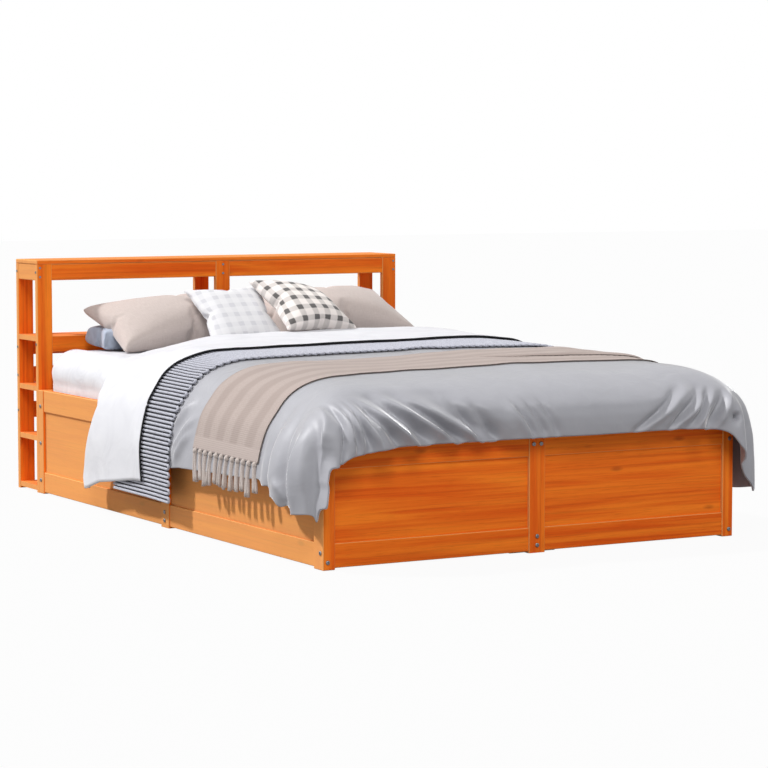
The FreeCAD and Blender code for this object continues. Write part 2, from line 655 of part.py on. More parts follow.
def mattress_shape(grown):
    """The mattress, or the room that it takes in the duvet when it is grown a little."""
    half = MATTRESS_WIDE / 2 + grown
    foot = mattress_foot - grown
    head = mattress_head + grown
    low = slat_top + SEAT - grown
    high = mattress_top + grown
    edge = (MATTRESS_EDGE, MATTRESS_EDGE)
    corner = (MATTRESS_CORNER, MATTRESS_CORNER)
    left = (MATTRESS_LEFT_ROUND, MATTRESS_LEFT_ROUND)
    right = (MATTRESS_RIGHT_ROUND, MATTRESS_RIGHT_ROUND)
    foot_round = (MATTRESS_FOOT_ROUND, MATTRESS_FOOT_ROUND)
    section = [(-half, low, *edge), (half, low, *edge), (half, high, *right), (-half, high, *left)]
    side = [(foot, low, *edge), (head, low, *edge), (head, high, *edge), (foot, high, *foot_round)]
    plan = [(-half, foot, *corner), (half, foot, *corner), (half, head, *corner), (-half, head, *corner)]
    shape = prism_along(section, foot - CUT_PAST, head + CUT_PAST, 0)
    shape = shape.common(prism_across(side, -half - CUT_PAST, half + CUT_PAST))
    return shape.common(prism_up(plan, low - CUT_PAST, high + CUT_PAST))


def over_the_duvet(lift):
    """Corners of the outline across the bed, lifted off the duvet's outer face."""
    out = drop_outside + lift
    top = duvet_foot_top + lift
    right = (out, top, DUVET_RIGHT_DOWN + lift, DUVET_RIGHT_OVER + lift)
    left = (-out, top, DUVET_LEFT_OVER + lift, DUVET_LEFT_DOWN + lift)
    return [(out, deep_hem), right, left, (-out, deep_hem)]


def throw(start, wide, thick, left_hem):
    """A throw laid across the duvet, hanging further on the left than on the right."""
    end = start + wide
    outside = prism_along(over_the_duvet(THROW_GAP + thick), start, end, duvet_rise)
    inside = prism_along(over_the_duvet(THROW_GAP), start - CUT_PAST, end + CUT_PAST, duvet_rise)
    past = drop_outside + THROW_GAP + thick + CUT_PAST
    past_end = end + CUT_PAST
    below_left = block(-past, 0, start - CUT_PAST, past_end, deep_hem - CUT_PAST, left_hem)
    below_right = block(0, past, start - CUT_PAST, past_end, deep_hem - CUT_PAST, FAR_SIDE_HEM)
    return outside.cut(inside).cut(below_left).cut(below_right)


def pillow(side, ends):
    """A pillow from its outline seen from the side, drawn in towards both ends."""
    points = [(book_front - ahead, mattress_top + above) for ahead, above in side]
    centre_y = sum(y for y, z in points) / len(points)
    centre_z = sum(z for y, z in points) / len(points)
    left, right = ends
    stations = (
        (left, PILLOW_END_SHARE),
        (left + PILLOW_TAPER, 1.0),
        (right - PILLOW_TAPER, 1.0),
        (right, PILLOW_END_SHARE),
    )
    wires = []
    for x, share in stations:
        ring = []
        for y, z in points:
            ring_y = centre_y + share * (y - centre_y)
            ring_z = centre_z + share * (z - centre_z)
            ring.append(FreeCAD.Vector(x, ring_y, ring_z))
        wires.append(Part.makePolygon(ring + ring[:1]))
    return Part.makeLoft(wires, True, True)


def cushion_side(foot, crest, thick):
    """The side outline of a leaning cushion: thin at both edges and thick between them."""
    run = (crest[0] - foot[0], crest[1] - foot[1])
    length = math.hypot(run[0], run[1])
    across = (-run[1] / length * thick / 2, run[0] / length * thick / 2)
    outline = []
    plump_to = 1 - CUSHION_PLUMP_FROM
    one_face = ((0, 0), (CUSHION_PLUMP_FROM, 1), (plump_to, 1))
    other_face = ((1, 0), (plump_to, -1), (CUSHION_PLUMP_FROM, -1))
    for along, side in one_face + other_face:
        ahead = foot[0] + along * run[0] + side * across[0]
        above = foot[1] + along * run[1] + side * across[1]
        outline.append((ahead, above))
    return outline


# Mattress, lying on the slats inside the frame
nodes["mattress"] = mattress_shape(0)

# Duvet: a thick sheet over the mattress that hangs outside both sides and bulges over the foot
hem_below = min(height for distance, height in DUVET_HEM) - CUT_PAST
past_drop = drop_outside + CUT_PAST
past_head = duvet_head + CUT_PAST
past_foot = -FOOT_OVERHANG - CUT_PAST
deep_hem = hem_below - duvet_swell
duvet = prism_along(over_the_duvet(0), past_foot, duvet_head, duvet_rise)
duvet_side = [
    (-FOOT_OVERHANG, hem_below),
    (-FOOT_OVERHANG, duvet_foot_top - DUVET_FOOT_SAG, DUVET_FOOT_DOWN, DUVET_FOOT_OVER),
    (past_head, mattress_top + 2 * DUVET_THICK_AT_HEAD),
    (past_head, hem_below),
]
duvet = duvet.common(prism_across(duvet_side, -past_drop, past_drop))
duvet = duvet.cut(block(-drop_inside, drop_inside, -drop_clear, past_head, 0, SIDE_HEIGHT + DROP_GAP))
duvet = duvet.cut(mattress_shape(SEAT))
lip_reach = half_width - FOOT_CORNER_WIDE
duvet = duvet.cut(block(-lip_reach, lip_reach, past_foot, 0, 0, SIDE_HEIGHT - FOOT_LIP))
hem_points = [(distance, height) for distance, height in DUVET_HEM if past_foot < distance < past_head]
first_hem = DUVET_HEM[0][1]
last_hem = hem_points[-1][1]
hem_cut = [(past_foot, 0), (past_foot, first_hem)] + hem_points + [(past_head, last_hem), (past_head, 0)]
nodes["duvet"] = duvet.cut(prism_across(hem_cut, -past_drop, past_drop))

# Throws over the duvet
nodes["throw_grey"] = throw(grey_throw_start, GREY_THROW_WIDE, GREY_THROW_THICK, GREY_THROW_HEM)
nodes["throw_beige"] = throw(beige_throw_start, BEIGE_THROW_WIDE, BEIGE_THROW_THICK, BEIGE_THROW_HEM)

# Pillows against the bookcase and cushions leaning on them
nodes["pillow_small"] = pillow(SMALL_PILLOW_SIDE, SMALL_PILLOW_ENDS)
nodes["pillow_left"] = pillow(PILLOW_SIDE, LEFT_PILLOW_ENDS)
nodes["pillow_right"] = pillow(PILLOW_SIDE, RIGHT_PILLOW_ENDS)
white_side = cushion_side(WHITE_CUSHION_FOOT, WHITE_CUSHION_CREST, WHITE_CUSHION_THICK)
nodes["cushion_white"] = pillow(white_side, WHITE_CUSHION_ENDS)
plaid_side = cushion_side(PLAID_CUSHION_FOOT, PLAID_CUSHION_CREST, PLAID_CUSHION_THICK)
nodes["cushion_plaid"] = pillow(plaid_side, PLAID_CUSHION_ENDS)

# Left-hand twins of the right-hand pieces
for name in ("foot_post", "foot_bottom_rail", "foot_top_rail", "foot_panel", "side_stile", "head_post"):
    pair(name, nodes.pop(name))
for end_name in side_bays:
    for kind in ("side_bottom_rail_", "side_top_rail_", "side_panel_"):
        pair(kind + end_name, nodes.pop(kind + end_name))
for row in ("front_post_", "back_post_"):
    right_post = nodes.pop(row + "right")
    nodes["bookcase_" + row + "right"] = right_post
    nodes["bookcase_" + row + "left"] = mirrored(right_post)
    nodes["bookcase_" + row + "centre"] = nodes.pop(row + "centre")


def group(name, names, twins):
    """Join like pieces in one group, with the left-hand twins of those that have one."""
    shapes = [nodes.pop(member) for member in names]
    extra = [mirrored(shapes[names.index(member)]) for member in twins]
    nodes[name] = Part.makeCompound(shapes + extra)


# Groups of like pieces
group("head_rails", head_rail_names, [])
group("joining_battens", ["foot_batten", "side_batten"], ["side_batten"])
group("slat_ledgers", ["ledger"], ["ledger"])
group("bookcase_front_rails", ["front_rail"], ["front_rail"])
group("bookcase_shelf_rails", ["shelf_rail"], ["shelf_rail"])
group("bookcase_back_rails", list(back_rail_middles), list(back_rail_middles))
group("bookcase_cross_rails", ["cross_rail_right", "cross_rail_centre"], ["cross_rail_right"])
nodes["bed_bolts"] = Part.makeCompound(bolts)
nodes["bed_nuts"] = Part.makeCompound(nuts)
nodes["wood_screws"] = Part.makeCompound(screws)
nodes["dowels"] = Part.makeCompound(dowels)

# One file for each piece or group, moved so that the bed is centred on the origin
os.makedirs("parts", exist_ok=True)
for name, shape in nodes.items():
    placed = shape.copy()
    placed.translate(ALONG * -middle_of_bed)
    placed.exportStep("parts/" + name + ".step")
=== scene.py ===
import math
import random

import bmesh
import bpy
import numpy as np
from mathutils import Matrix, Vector, noise


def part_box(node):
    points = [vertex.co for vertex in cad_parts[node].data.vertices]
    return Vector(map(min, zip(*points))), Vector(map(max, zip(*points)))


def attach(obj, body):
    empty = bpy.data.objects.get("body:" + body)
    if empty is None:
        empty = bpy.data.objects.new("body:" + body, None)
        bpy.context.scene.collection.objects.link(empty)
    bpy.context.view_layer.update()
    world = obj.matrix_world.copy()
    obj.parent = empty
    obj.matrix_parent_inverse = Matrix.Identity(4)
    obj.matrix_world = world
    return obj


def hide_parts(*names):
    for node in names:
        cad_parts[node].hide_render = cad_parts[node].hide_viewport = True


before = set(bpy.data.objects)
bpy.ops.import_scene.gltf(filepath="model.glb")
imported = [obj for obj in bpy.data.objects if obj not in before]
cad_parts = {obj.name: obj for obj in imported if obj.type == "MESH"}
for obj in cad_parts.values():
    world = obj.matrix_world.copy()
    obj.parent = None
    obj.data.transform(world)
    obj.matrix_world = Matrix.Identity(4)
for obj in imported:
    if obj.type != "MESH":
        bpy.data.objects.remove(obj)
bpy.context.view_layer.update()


# Footboard, sides, head posts and rails, and bookcase
# Solid pine boards, planed, stained a warm orange and oiled. The rails are tenoned into the
# posts and stiles, and thin panels stand in their grooves.

def linear(code):
    """An sRGB hex colour as the linear colour that a shader takes."""
    shares = [int(code[place:place + 2], 16) / 255 for place in (1, 3, 5)]
    curve = [s / 12.92 if s <= 0.04045 else ((s + 0.055) / 1.055) ** 2.4 for s in shares]
    return curve + [1.0]


def add(tree, kind, inputs=None, **settings):
    """Add a node with its settings, and give each input a link, a hex colour or a plain value."""
    node = tree.nodes.new("ShaderNode" + kind)
    for name, value in settings.items():
        setattr(node, name, value)
    for key, value in (inputs or {}).items():
        if isinstance(value, bpy.types.NodeSocket):
            tree.links.new(value, node.inputs[key])
        else:
            node.inputs[key].default_value = linear(value) if isinstance(value, str) else value
    return node


def material(name, **values):
    """A new material, its node tree and its shader with the given plain values."""
    made = bpy.data.materials.new(name)
    made.use_nodes = True
    shader = made.node_tree.nodes["Principled BSDF"]
    for key, value in values.items():
        shader.inputs[key.replace("_", " ")].default_value = value
    return made, made.node_tree, shader


def planed_wood(name, axis, deep, middle, rubbed_and_painted_light_tone, grain, painted_light_share):
    """Planed wood: a broad flame figure, dark lines, knots, and pores drawn 1.6 mm wide to show, all
    along the grain. Arrises are rubbed paler; faces towards the window get a paler tone as painted light."""
    made, tree, shader = material(name, IOR=1.5, Specular_IOR_Level=0.2)
    place = add(tree, "TexCoord").outputs["Object"]
    board = add(tree, "ObjectInfo").outputs["Random"]
    shift = add(tree, "VectorMath", {0: place, 1: board}, operation="ADD").outputs[0]
    # Length and width of each kind of mark in metres
    marks = {"figure": (0.75, 0.032), "line": (0.60, 0.0075), "pore": (0.050, 0.0016), "knot": (0.22, 0.075)}
    drawn = {}
    for mark, (along, across) in marks.items():
        scales = [1 / across] * 3
        scales[axis] = 1 / along
        drawn[mark] = add(tree, "Mapping", {"Vector": shift, "Scale": scales}).outputs[0]
    figure_shape = {"Vector": drawn["figure"], "Scale": 1.0, "Detail": 3.0, "Distortion": 0.7}
    figure = add(tree, "TexNoise", figure_shape).outputs["Fac"]
    lines = add(tree, "TexNoise", {"Vector": drawn["line"], "Scale": 1.0, "Detail": 4.0}).outputs["Fac"]
    pores = add(tree, "TexNoise", {"Vector": drawn["pore"], "Scale": 1.0, "Detail": 2.0}).outputs["Fac"]
    knots = add(tree, "TexVoronoi", {"Vector": drawn["knot"], "Scale": 1.0}).outputs["Distance"]
    facing = add(tree, "NewGeometry").outputs["Normal"]
    # Faces turned this way, to the window lamp's side, are painted paler as painted light
    painted_light_side = (-0.85, 0.10, 0.40)
    turned = add(tree, "VectorMath", {0: facing, 1: painted_light_side}, operation="DOT_PRODUCT").outputs["Value"]
    size = add(tree, "VectorMath", {0: facing}, operation="ABSOLUTE").outputs[0]
    parts = add(tree, "SeparateXYZ", {0: size}).outputs
    larger = add(tree, "Math", {0: parts[0], 1: parts[1]}, operation="MAXIMUM").outputs[0]
    squareness = add(tree, "Math", {0: larger, 1: parts[2]}, operation="MAXIMUM").outputs[0]
    # Each layer's pattern, where it starts and is full, how much it covers, and its colour
    layers = (
        (figure, 0.34, 0.66, 1.0, middle),
        (lines, 0.52, 0.70, 0.55, middle),
        (lines, 0.47, 0.32, 0.22, grain),
        (knots, 0.13, 0.05, 0.45, grain),
        (pores, 0.44, 0.26, 0.26, grain),
        # Painted light: faces towards the window lamp take the pale tone
        (turned, 0.15, 0.75, painted_light_share, rubbed_and_painted_light_tone),
        # Rubbed wear: rounded arrises take the same pale tone
        (squareness, 0.995, 0.90, 0.55, rubbed_and_painted_light_tone),
    )
    colour = deep
    for pattern, start, full, cover, tint in layers:
        share = add(tree, "MapRange", {0: pattern, 1: start, 2: full, 3: 0.0, 4: cover}).outputs[0]
        colour = add(tree, "Mix", {0: share, 6: colour, 7: tint}, data_type="RGBA").outputs[2]
    tree.links.new(colour, shader.inputs["Base Color"])
    oil = add(tree, "MapRange", {0: pores, 1: 0.3, 2: 0.7, 3: 0.80, 4: 0.68}).outputs[0]
    tree.links.new(oil, shader.inputs["Roughness"])
    relief = {"Height": pores, "Strength": 0.12, "Distance": 0.0006}
    tree.links.new(add(tree, "Bump", relief).outputs[0], shader.inputs["Normal"])
    return made


def finish_nodes(names, finish):
    """Give CAD pieces a material in place of the plain one they came with."""
    for name in names:
        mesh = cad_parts[name].data
        mesh.materials.clear()
        mesh.materials.append(finish)


# Deep, middle and pale stain (rubbed arrises, painted light), and the dark of lines, knots and pores
STAIN = ("#E25C0B", "#F8821F", "#DDA766", "#86310A")
# How much of the pale tone is painted on faces towards the window, as painted light
WINDOW_PAINTED_LIGHT = 0.68
stained = {
    "across": planed_wood("stained_pine_across", 0, *STAIN, WINDOW_PAINTED_LIGHT),
    "along": planed_wood("stained_pine_along", 1, *STAIN, WINDOW_PAINTED_LIGHT),
    "upright": planed_wood("stained_pine_upright", 2, *STAIN, WINDOW_PAINTED_LIGHT),
}
sides = ("left", "right")
finish_nodes(["foot_post_" + s for s in sides] + ["foot_stile"], stained["upright"])
finish_nodes(["side_stile_" + s for s in sides] + ["head_post_" + s for s in sides], stained["upright"])
for piece in ("foot_top_rail_", "foot_bottom_rail_", "foot_panel_"):
    finish_nodes([piece + s for s in sides], stained["across"])
for piece in ("side_top_rail_", "side_bottom_rail_", "side_panel_"):
    finish_nodes([piece + end + "_" + s for end in ("foot", "head") for s in sides], stained["along"])
for row in ("front", "back"):
    finish_nodes(["bookcase_" + row + "_post_" + s for s in ("left", "centre", "right")], stained["upright"])
finish_nodes(["bookcase_shelf_" + s for s in ("bottom", "lower", "middle", "upper")], stained["across"])
finish_nodes(["bookcase_top", "bookcase_front_rails", "bookcase_shelf_rails"], stained["across"])
finish_nodes(["bookcase_back_rails", "head_rails"], stained["across"])
finish_nodes(["bookcase_cross_rails"], stained["along"])


# Slatted base
# Slats, ledgers, beam, legs and battens of planed pine with no stain, hidden under the
# mattress. The ledgers are screwed to the sides and the slats lie on them.
BARE_PINE = ("#B98A55", "#D9B27C", "#E8CDA0", "#8E6438")
finish_nodes(["slats", "joining_battens"], planed_wood("planed_pine_across", 0, *BARE_PINE, 0.0))
finish_nodes(["slat_ledgers", "centre_beam"], planed_wood("planed_pine_along", 1, *BARE_PINE, 0.0))
finish_nodes(["beam_legs"], planed_wood("planed_pine_upright", 2, *BARE_PINE, 0.0))


# Bolts, nuts, screws and dowels
# Zinc-plated steel bolts with key sockets draw the rails to the posts, screws hold the
# ledgers and the bookcase, and turned beech dowels locate the shelves.

def zinc_plate():
    """Bright zinc on steel: a cool grey with a faint cloudy passivation."""
    made, tree, shader = material("zinc_plated_steel", Metallic=1.0)
    place = add(tree, "TexCoord").outputs["Object"]
    cloud = add(tree, "TexNoise", {"Vector": place, "Scale": 1 / 0.004, "Detail": 3.0}).outputs["Fac"]
    colour = add(tree, "Mix", {0: cloud, 6: "#77777B", 7: "#98999C"}, data_type="RGBA").outputs[2]
    tree.links.new(colour, shader.inputs["Base Color"])
    dullness = add(tree, "MapRange", {0: cloud, 1: 0.3, 2: 0.7, 3: 0.40, 4: 0.55}).outputs[0]
    tree.links.new(dullness, shader.inputs["Roughness"])
    return made


finish_nodes(["bed_bolts", "bed_nuts", "wood_screws"], zinc_plate())
finish_nodes(["dowels"], planed_wood("turned_beech", 0, "#B98C63", "#D0A67C", "#DDBB96", "#9A7048", 0.0))


# Mattress
# A foam mattress in a white fitted cotton sheet, lying on the slats between the sides. Its
# edge is soft, so it rounds over where the duvet is drawn across it.

def cotton(name, base, shade, crease, creasing=0.35):
    """Plain-woven cotton: matt, with soft creases, and a weave drawn 2.2 mm wide to show."""
    made, tree, shader = material(name, IOR=1.46, Sheen_Weight=0.25, Sheen_Roughness=0.5, Roughness=0.85)
    place = add(tree, "TexCoord").outputs["Object"]
    broad = add(tree, "TexNoise", {"Vector": place, "Scale": 1 / crease, "Detail": 3.0, "Distortion": 1.4})
    weave = add(tree, "TexNoise", {"Vector": place, "Scale": 1 / 0.0022, "Detail": 1.0}).outputs["Fac"]
    fold = broad.outputs["Fac"]
    # Painted shade: the colour turns to the shade tone in the hollows of the crease relief made from the
    # same noise
    share = add(tree, "MapRange", {0: fold, 1: 0.30, 2: 0.70}).outputs[0]
    colour = add(tree, "Mix", {0: share, 6: shade, 7: base}, data_type="RGBA").outputs[2]
    tree.links.new(colour, shader.inputs["Base Color"])
    small = {"Height": weave, "Strength": 0.10, "Distance": 0.0008}
    fine = add(tree, "Bump", small).outputs[0]
    large = {"Height": fold, "Strength": creasing, "Distance": 0.012, "Normal": fine}
    tree.links.new(add(tree, "Bump", large).outputs[0], shader.inputs["Normal"])
    return made


def new_piece(name, mesh, finish, body):
    """A smooth piece in the scene from a mesh, with its finish, that moves with a body."""
    mesh.materials.append(finish)
    mesh.polygons.foreach_set("use_smooth", [True] * len(mesh.polygons))
    piece = bpy.data.objects.new(name, mesh)
    bpy.context.scene.collection.objects.link(piece)
    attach(piece, body)
    return piece


SHEET_SPACING = 0.014
SHEET_INSET = 0.004
SHEET_ROUND = 0.115
SHEET_CREASE = 0.004
# The sheet is fuller along the left edge of the bare head end
SHEET_FULLER = 0.044
BARE_END = 0.46
BARE_FADE = 0.10
low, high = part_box("mattress")
core = bpy.data.objects.new("mattress_core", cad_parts["mattress"].data.copy())
bpy.context.scene.collection.objects.link(core)
voxels = core.modifiers.new("even_mesh", "REMESH")
voxels.voxel_size = SHEET_SPACING
relax = core.modifiers.new("relax", "SMOOTH")
relax.iterations = 6
mattress_mesh = bpy.data.meshes.new_from_object(core.evaluated_get(bpy.context.evaluated_depsgraph_get()))
bpy.data.objects.remove(core)
for corner in mattress_mesh.vertices:
    spot = corner.co
    pull = noise.noise(Vector((spot.x * 3, spot.y * 9 + spot.z * 5, spot.z * 4)))
    on_side = max(0.0, 1 - abs(corner.normal.z) * 1.5)
    beside = min(max((low.x + SHEET_ROUND - spot.x) / SHEET_ROUND, 0.0), 1.0)
    above = min(max((spot.z - high.z + SHEET_ROUND) / SHEET_ROUND, 0.0), 1.0)
    bare = min(max((spot.y - high.y + BARE_END) / BARE_FADE, 0.0), 1.0)
    fuller = SHEET_FULLER * beside * above * bare
    corner.co = spot + corner.normal * (SHEET_CREASE * pull * on_side - SHEET_INSET + fuller)
mattress_mesh.materials.clear()
sheet_cotton = cotton("white_sheet_cotton", "#D8D8DC", "#CECED3", crease=0.10)
mattress = new_piece("mattress_in_sheet", mattress_mesh, sheet_cotton, "mattress")
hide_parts("mattress")


# Duvet
# A filled duvet in a pale grey satin cover, spread over the mattress and hanging outside the
# frame. At the foot it bulges over the footboard, and its corners hang down as tails.

half_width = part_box("foot_post_right")[1].x
foot_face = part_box("foot_stile")[0].y
START_IN = 0.30
# How far inside the frame's outer face, and how far below the top, the cloth runs at each side
LEFT_LINE = (
    (0.300, 0.000), (0.200, 0.006), (0.115, 0.026), (0.062, 0.058), (0.018, 0.111), (-0.012, 0.155),
    (-0.030, 0.205), (-0.044, 0.270), (-0.048, 0.340), (-0.046, 0.430), (-0.043, 0.560),
)
RIGHT_LINE = (
    (0.300, 0.000), (0.150, 0.004), (0.070, 0.016), (0.015, 0.052), (-0.022, 0.110),
    (-0.038, 0.190), (-0.043, 0.300), (-0.043, 0.560),
)
FOOT_LINE = (
    (0.300, 0.000), (0.180, 0.010), (0.090, 0.026), (0.020, 0.054), (-0.030, 0.090), (-0.049, 0.122),
    (-0.051, 0.150), (-0.048, 0.175), (-0.044, 0.205), (-0.042, 0.300), (-0.043, 0.560),
)
TOP_AT_FOOT = 0.539
TOP_RISE = 0.0120
LEFT_SAG = 0.008
# Size, height and seed of the waves in the filling
BROAD_WAVES = (0.30, 0.006, 3.1)
SMALL_WAVES = (0.11, 0.0025, 7.7)
# How square the corners hang: the higher, the squarer
CORNER_HANG = 5
CORNER_PLAN = 10
# Pleats round each corner: depth, closeness, shift, and the run of cloth over which they grow
PLEAT_DEEP = 0.022
PLEATS_ROUND = 21.0
PLEAT_SHIFT = 0.6
PLEAT_SPAN = (0.24, 0.52)


def soft_curve(points, steps=24):
    """A smooth line through points, as its running length and the points along it."""
    points = np.array(points, float)
    padded = np.vstack([2 * points[0] - points[1], points, 2 * points[-1] - points[-2]])
    share = np.linspace(0, 1, steps, endpoint=False)[:, None]
    spans = []
    for before, start, end, after in zip(padded, padded[1:], padded[2:], padded[3:]):
        bend = 2 * before - 5 * start + 4 * end - after
        twist = 3 * (start - end) + after - before
        spans.append(start + share * ((end - before) + share * (bend + share * twist)) / 2)
    line = np.vstack(spans + [points[-1:]])
    length = np.concatenate([[0], np.cumsum(np.linalg.norm(np.diff(line, axis=0), axis=1))])
    return length, line


def ease(value, start, end):
    """A smooth step from 0 at start to 1 at end."""
    share = np.clip((np.asarray(value, float) - start) / (end - start), 0, 1)
    return share * share * (3 - 2 * share)


class Edge:
    """How cloth runs over one edge of the bed: outwards and down, by its length from the start."""

    def __init__(self, points):
        self.length, line = soft_curve(points)
        self.out = START_IN - line[:, 0]
        self.drop = line[:, 1]

    def at(self, run):
        """How far out and down the cloth is at a length along it, and its direction there."""
        out = np.interp(run, self.length, self.out)
        drop = np.interp(run, self.length, self.drop)
        step = 0.004
        ahead = np.interp(run + step, self.length, self.out) - np.interp(run - step, self.length, self.out)
        down = np.interp(run + step, self.length, self.drop) - np.interp(run - step, self.length, self.drop)
        size = np.hypot(ahead, down) + 1e-9
        return out, drop, ahead / size, down / size

    def run_to(self, drop):
        """The length of cloth that reaches a given drop."""
        return np.interp(drop, self.drop, self.length)


left_edge = Edge(LEFT_LINE)
right_edge = Edge(RIGHT_LINE)
foot_edge = Edge(FOOT_LINE)
flat_half = half_width - START_IN
flat_foot = foot_face + START_IN


def top_at(along):
    """Height of the duvet's top, by the distance from where it starts to curve over the foot."""
    return TOP_AT_FOOT + TOP_RISE * np.maximum(along, 0)


def ripple(across, along, size, height, seed):
    """Soft random waves of a given size over the flat cloth, the same for all that lies on it."""
    spots = zip(np.ravel(across) / size, np.ravel(along) / size)
    waves = [noise.noise(Vector((x, y, seed))) for x, y in spots]
    return height * np.reshape(waves, np.shape(across))


def drape(across, along, lift=0.0):
    """Points on the bedding from distances across and along the cloth, lifted off the duvet."""
    across, along = np.broadcast_arrays(np.asarray(across, float), np.asarray(along, float))
    lift = lift + ripple(across, along, *BROAD_WAVES) + ripple(across, along, *SMALL_WAVES)
    side = np.maximum(np.abs(across) - flat_half, 0)
    end = np.maximum(-along, 0)
    run = (side ** CORNER_HANG + end ** CORNER_HANG) ** (1 / CORNER_HANG)
    square = (side ** CORNER_PLAN + end ** CORNER_PLAN) ** (1 / CORNER_PLAN) + 1e-9
    turn = np.arctan2(end, side)
    weight = ease(turn, 0.15, math.pi / 2)
    weight = np.where(end > 0, weight, 0.0)
    left = np.array(left_edge.at(run))
    right = np.array(right_edge.at(run))
    over_side = np.where(across < 0, left, right)
    over_foot = np.array(foot_edge.at(run))
    out, drop, ahead, down = over_side * (1 - weight) + over_foot * weight
    corner = np.sin(2 * turn) * np.where((side > 0) & (end > 0), 1, 0)
    pleat = PLEAT_DEEP * (1 + np.sin(turn * PLEATS_ROUND + PLEAT_SHIFT)) * corner * ease(run, *PLEAT_SPAN)
    out = out + pleat + lift * down
    sag = LEFT_SAG * ease(across, 0.20, -0.45) * ease(drop, 0.10, 0.02)
    height = top_at(along) - drop + lift * ahead - sag
    x = np.sign(across) * (np.minimum(np.abs(across), flat_half) + out * side / square)
    y = flat_foot + np.maximum(along, 0) - out * end / square
    return np.stack([x, y, height], axis=-1)


def grid_mesh(name, points, flat):
    """A mesh from rows of points, with each point's place on the flat cloth as its UV in metres."""
    rows, columns = points.shape[:2]
    index = np.arange(rows * columns).reshape(rows, columns)
    corners = (index[:-1, :-1], index[:-1, 1:], index[1:, 1:], index[1:, :-1])
    faces = np.stack(corners, axis=-1).reshape(-1, 4)
    mesh = bpy.data.meshes.new(name)
    mesh.from_pydata(points.reshape(-1, 3).tolist(), [], faces.tolist())
    places = flat.reshape(-1, 2)[faces.reshape(-1)]
    mesh.uv_layers.new(name="cloth").data.foreach_set("uv", places.reshape(-1))
    return mesh


def grid_normals(points):
    """Outward directions of a grid of points."""
    normal = np.cross(np.gradient(points, axis=1), np.gradient(points, axis=0))
    return normal / (np.linalg.norm(normal, axis=-1, keepdims=True) + 1e-12)


def fold_height(points, folds):
    """Height of folds along lines in a plane. A fold is its start, end, width and height, and a
    height below 0 is a valley."""
    raised = np.zeros(points.shape[:-1])
    for start, end, width, height in folds:
        start = np.array(start) / 1000
        run = np.array(end) / 1000 - start
        share = np.clip(((points - start) @ run) / (run @ run), 0, 1)
        away = np.linalg.norm(points - start - share[..., None] * run, axis=-1)
        fade = ease(share, 0, 0.45) * (1 - 0.55 * ease(share, 0.75, 1))
        raised += height * fade * np.exp(-(away / width) ** 1.6)
    return raised


DUVET_LIP = 0.350
DUVET_FOOT_ROWS = 140
DUVET_TOP_ROWS = 70
DUVET_COLUMNS = 420
DUVET_HEAD = 1.32
FINE_ROWS_TO = 0.25
COVER_THICK = 0.006
foot_run = foot_edge.run_to(TOP_AT_FOOT - DUVET_LIP)
# Height of the hem at distances along the cloth from where it curves over the foot
HEM_ALONG = (-0.43, -0.34, -0.25, -0.12, 0.0, 0.55, 1.1)
LEFT_HEM = (0.179, 0.160, 0.179, 0.206, 0.233, 0.215, 0.150)
RIGHT_HEM = (0.152, 0.150, 0.190, 0.220, 0.240, 0.240, 0.240)
HEM_WAVE = 0.007
HEM_WAVES = 55.0
# How much longer the corners of the cloth are than its foot hem
LEFT_TAIL = 0.10
RIGHT_TAIL = 0.06
LEFT_CRUMPLE = 0.008
RIGHT_CRUMPLE = 0.003
CRUMPLES = 60.0
# How much of its way to the side the front of the left tail swings, and how far out that side is
GATHERED = 0.62
SIDE_OUT = 0.05


def hem_run(edge, heights, along):
    """How much cloth hangs past the start of the curve, for the hem to be at its height."""
    wave = HEM_WAVE * np.sin(along * HEM_WAVES) * ease(along, 0.1, -0.1)
    whole = edge.run_to(top_at(along) - np.interp(along, HEM_ALONG, heights) - wave)
    end = np.maximum(-along, 0)
    return np.maximum(whole ** CORNER_HANG - end ** CORNER_HANG, 0.01) ** (1 / CORNER_HANG)


foot_rows = np.linspace(-foot_run, FINE_ROWS_TO, DUVET_FOOT_ROWS, endpoint=False)
top_rows = np.linspace(FINE_ROWS_TO, DUVET_HEAD - START_IN, DUVET_TOP_ROWS)
duvet_along = np.concatenate([foot_rows, top_rows])
duvet_left = flat_half + hem_run(left_edge, LEFT_HEM, duvet_along)
duvet_right = flat_half + hem_run(right_edge, RIGHT_HEM, duvet_along)
share = np.linspace(-1, 1, DUVET_COLUMNS)
duvet_across = np.where(share < 0, share * duvet_left[:, None], share * duvet_right[:, None])
duvet_along = np.repeat(duvet_along[:, None], DUVET_COLUMNS, axis=1)
over_side = np.maximum(np.abs(duvet_across) - flat_half, 0)
crumple = np.where(duvet_across < 0, LEFT_CRUMPLE, RIGHT_CRUMPLE) * np.sin(over_side * CRUMPLES)
left_tail = LEFT_TAIL * ease(over_side, 0.36, 0.46)
right_tail = RIGHT_TAIL * ease(over_side, 0.26, 0.42)
tail = np.where(duvet_across < 0, left_tail, right_tail)
longer = tail + crumple * ease(over_side, 0.2, 0.4)
duvet_along = duvet_along - longer * ease(duvet_along, 0.15 - foot_run, -foot_run)
duvet_points = drape(duvet_across, duvet_along)
# The left tail is gathered round the post, so its front part swings out to the side
inside_left = duvet_points[..., 0] + half_width
at_front = ease(duvet_points[..., 1], foot_face + 0.05, foot_face - 0.02)
gathered = GATHERED * at_front * ease(inside_left, 0.16, 0.02) * ease(duvet_points[..., 2], 0.34, 0.18)
duvet_points[..., 0] -= gathered * (inside_left + SIDE_OUT)
duvet_normal = grid_normals(duvet_points)


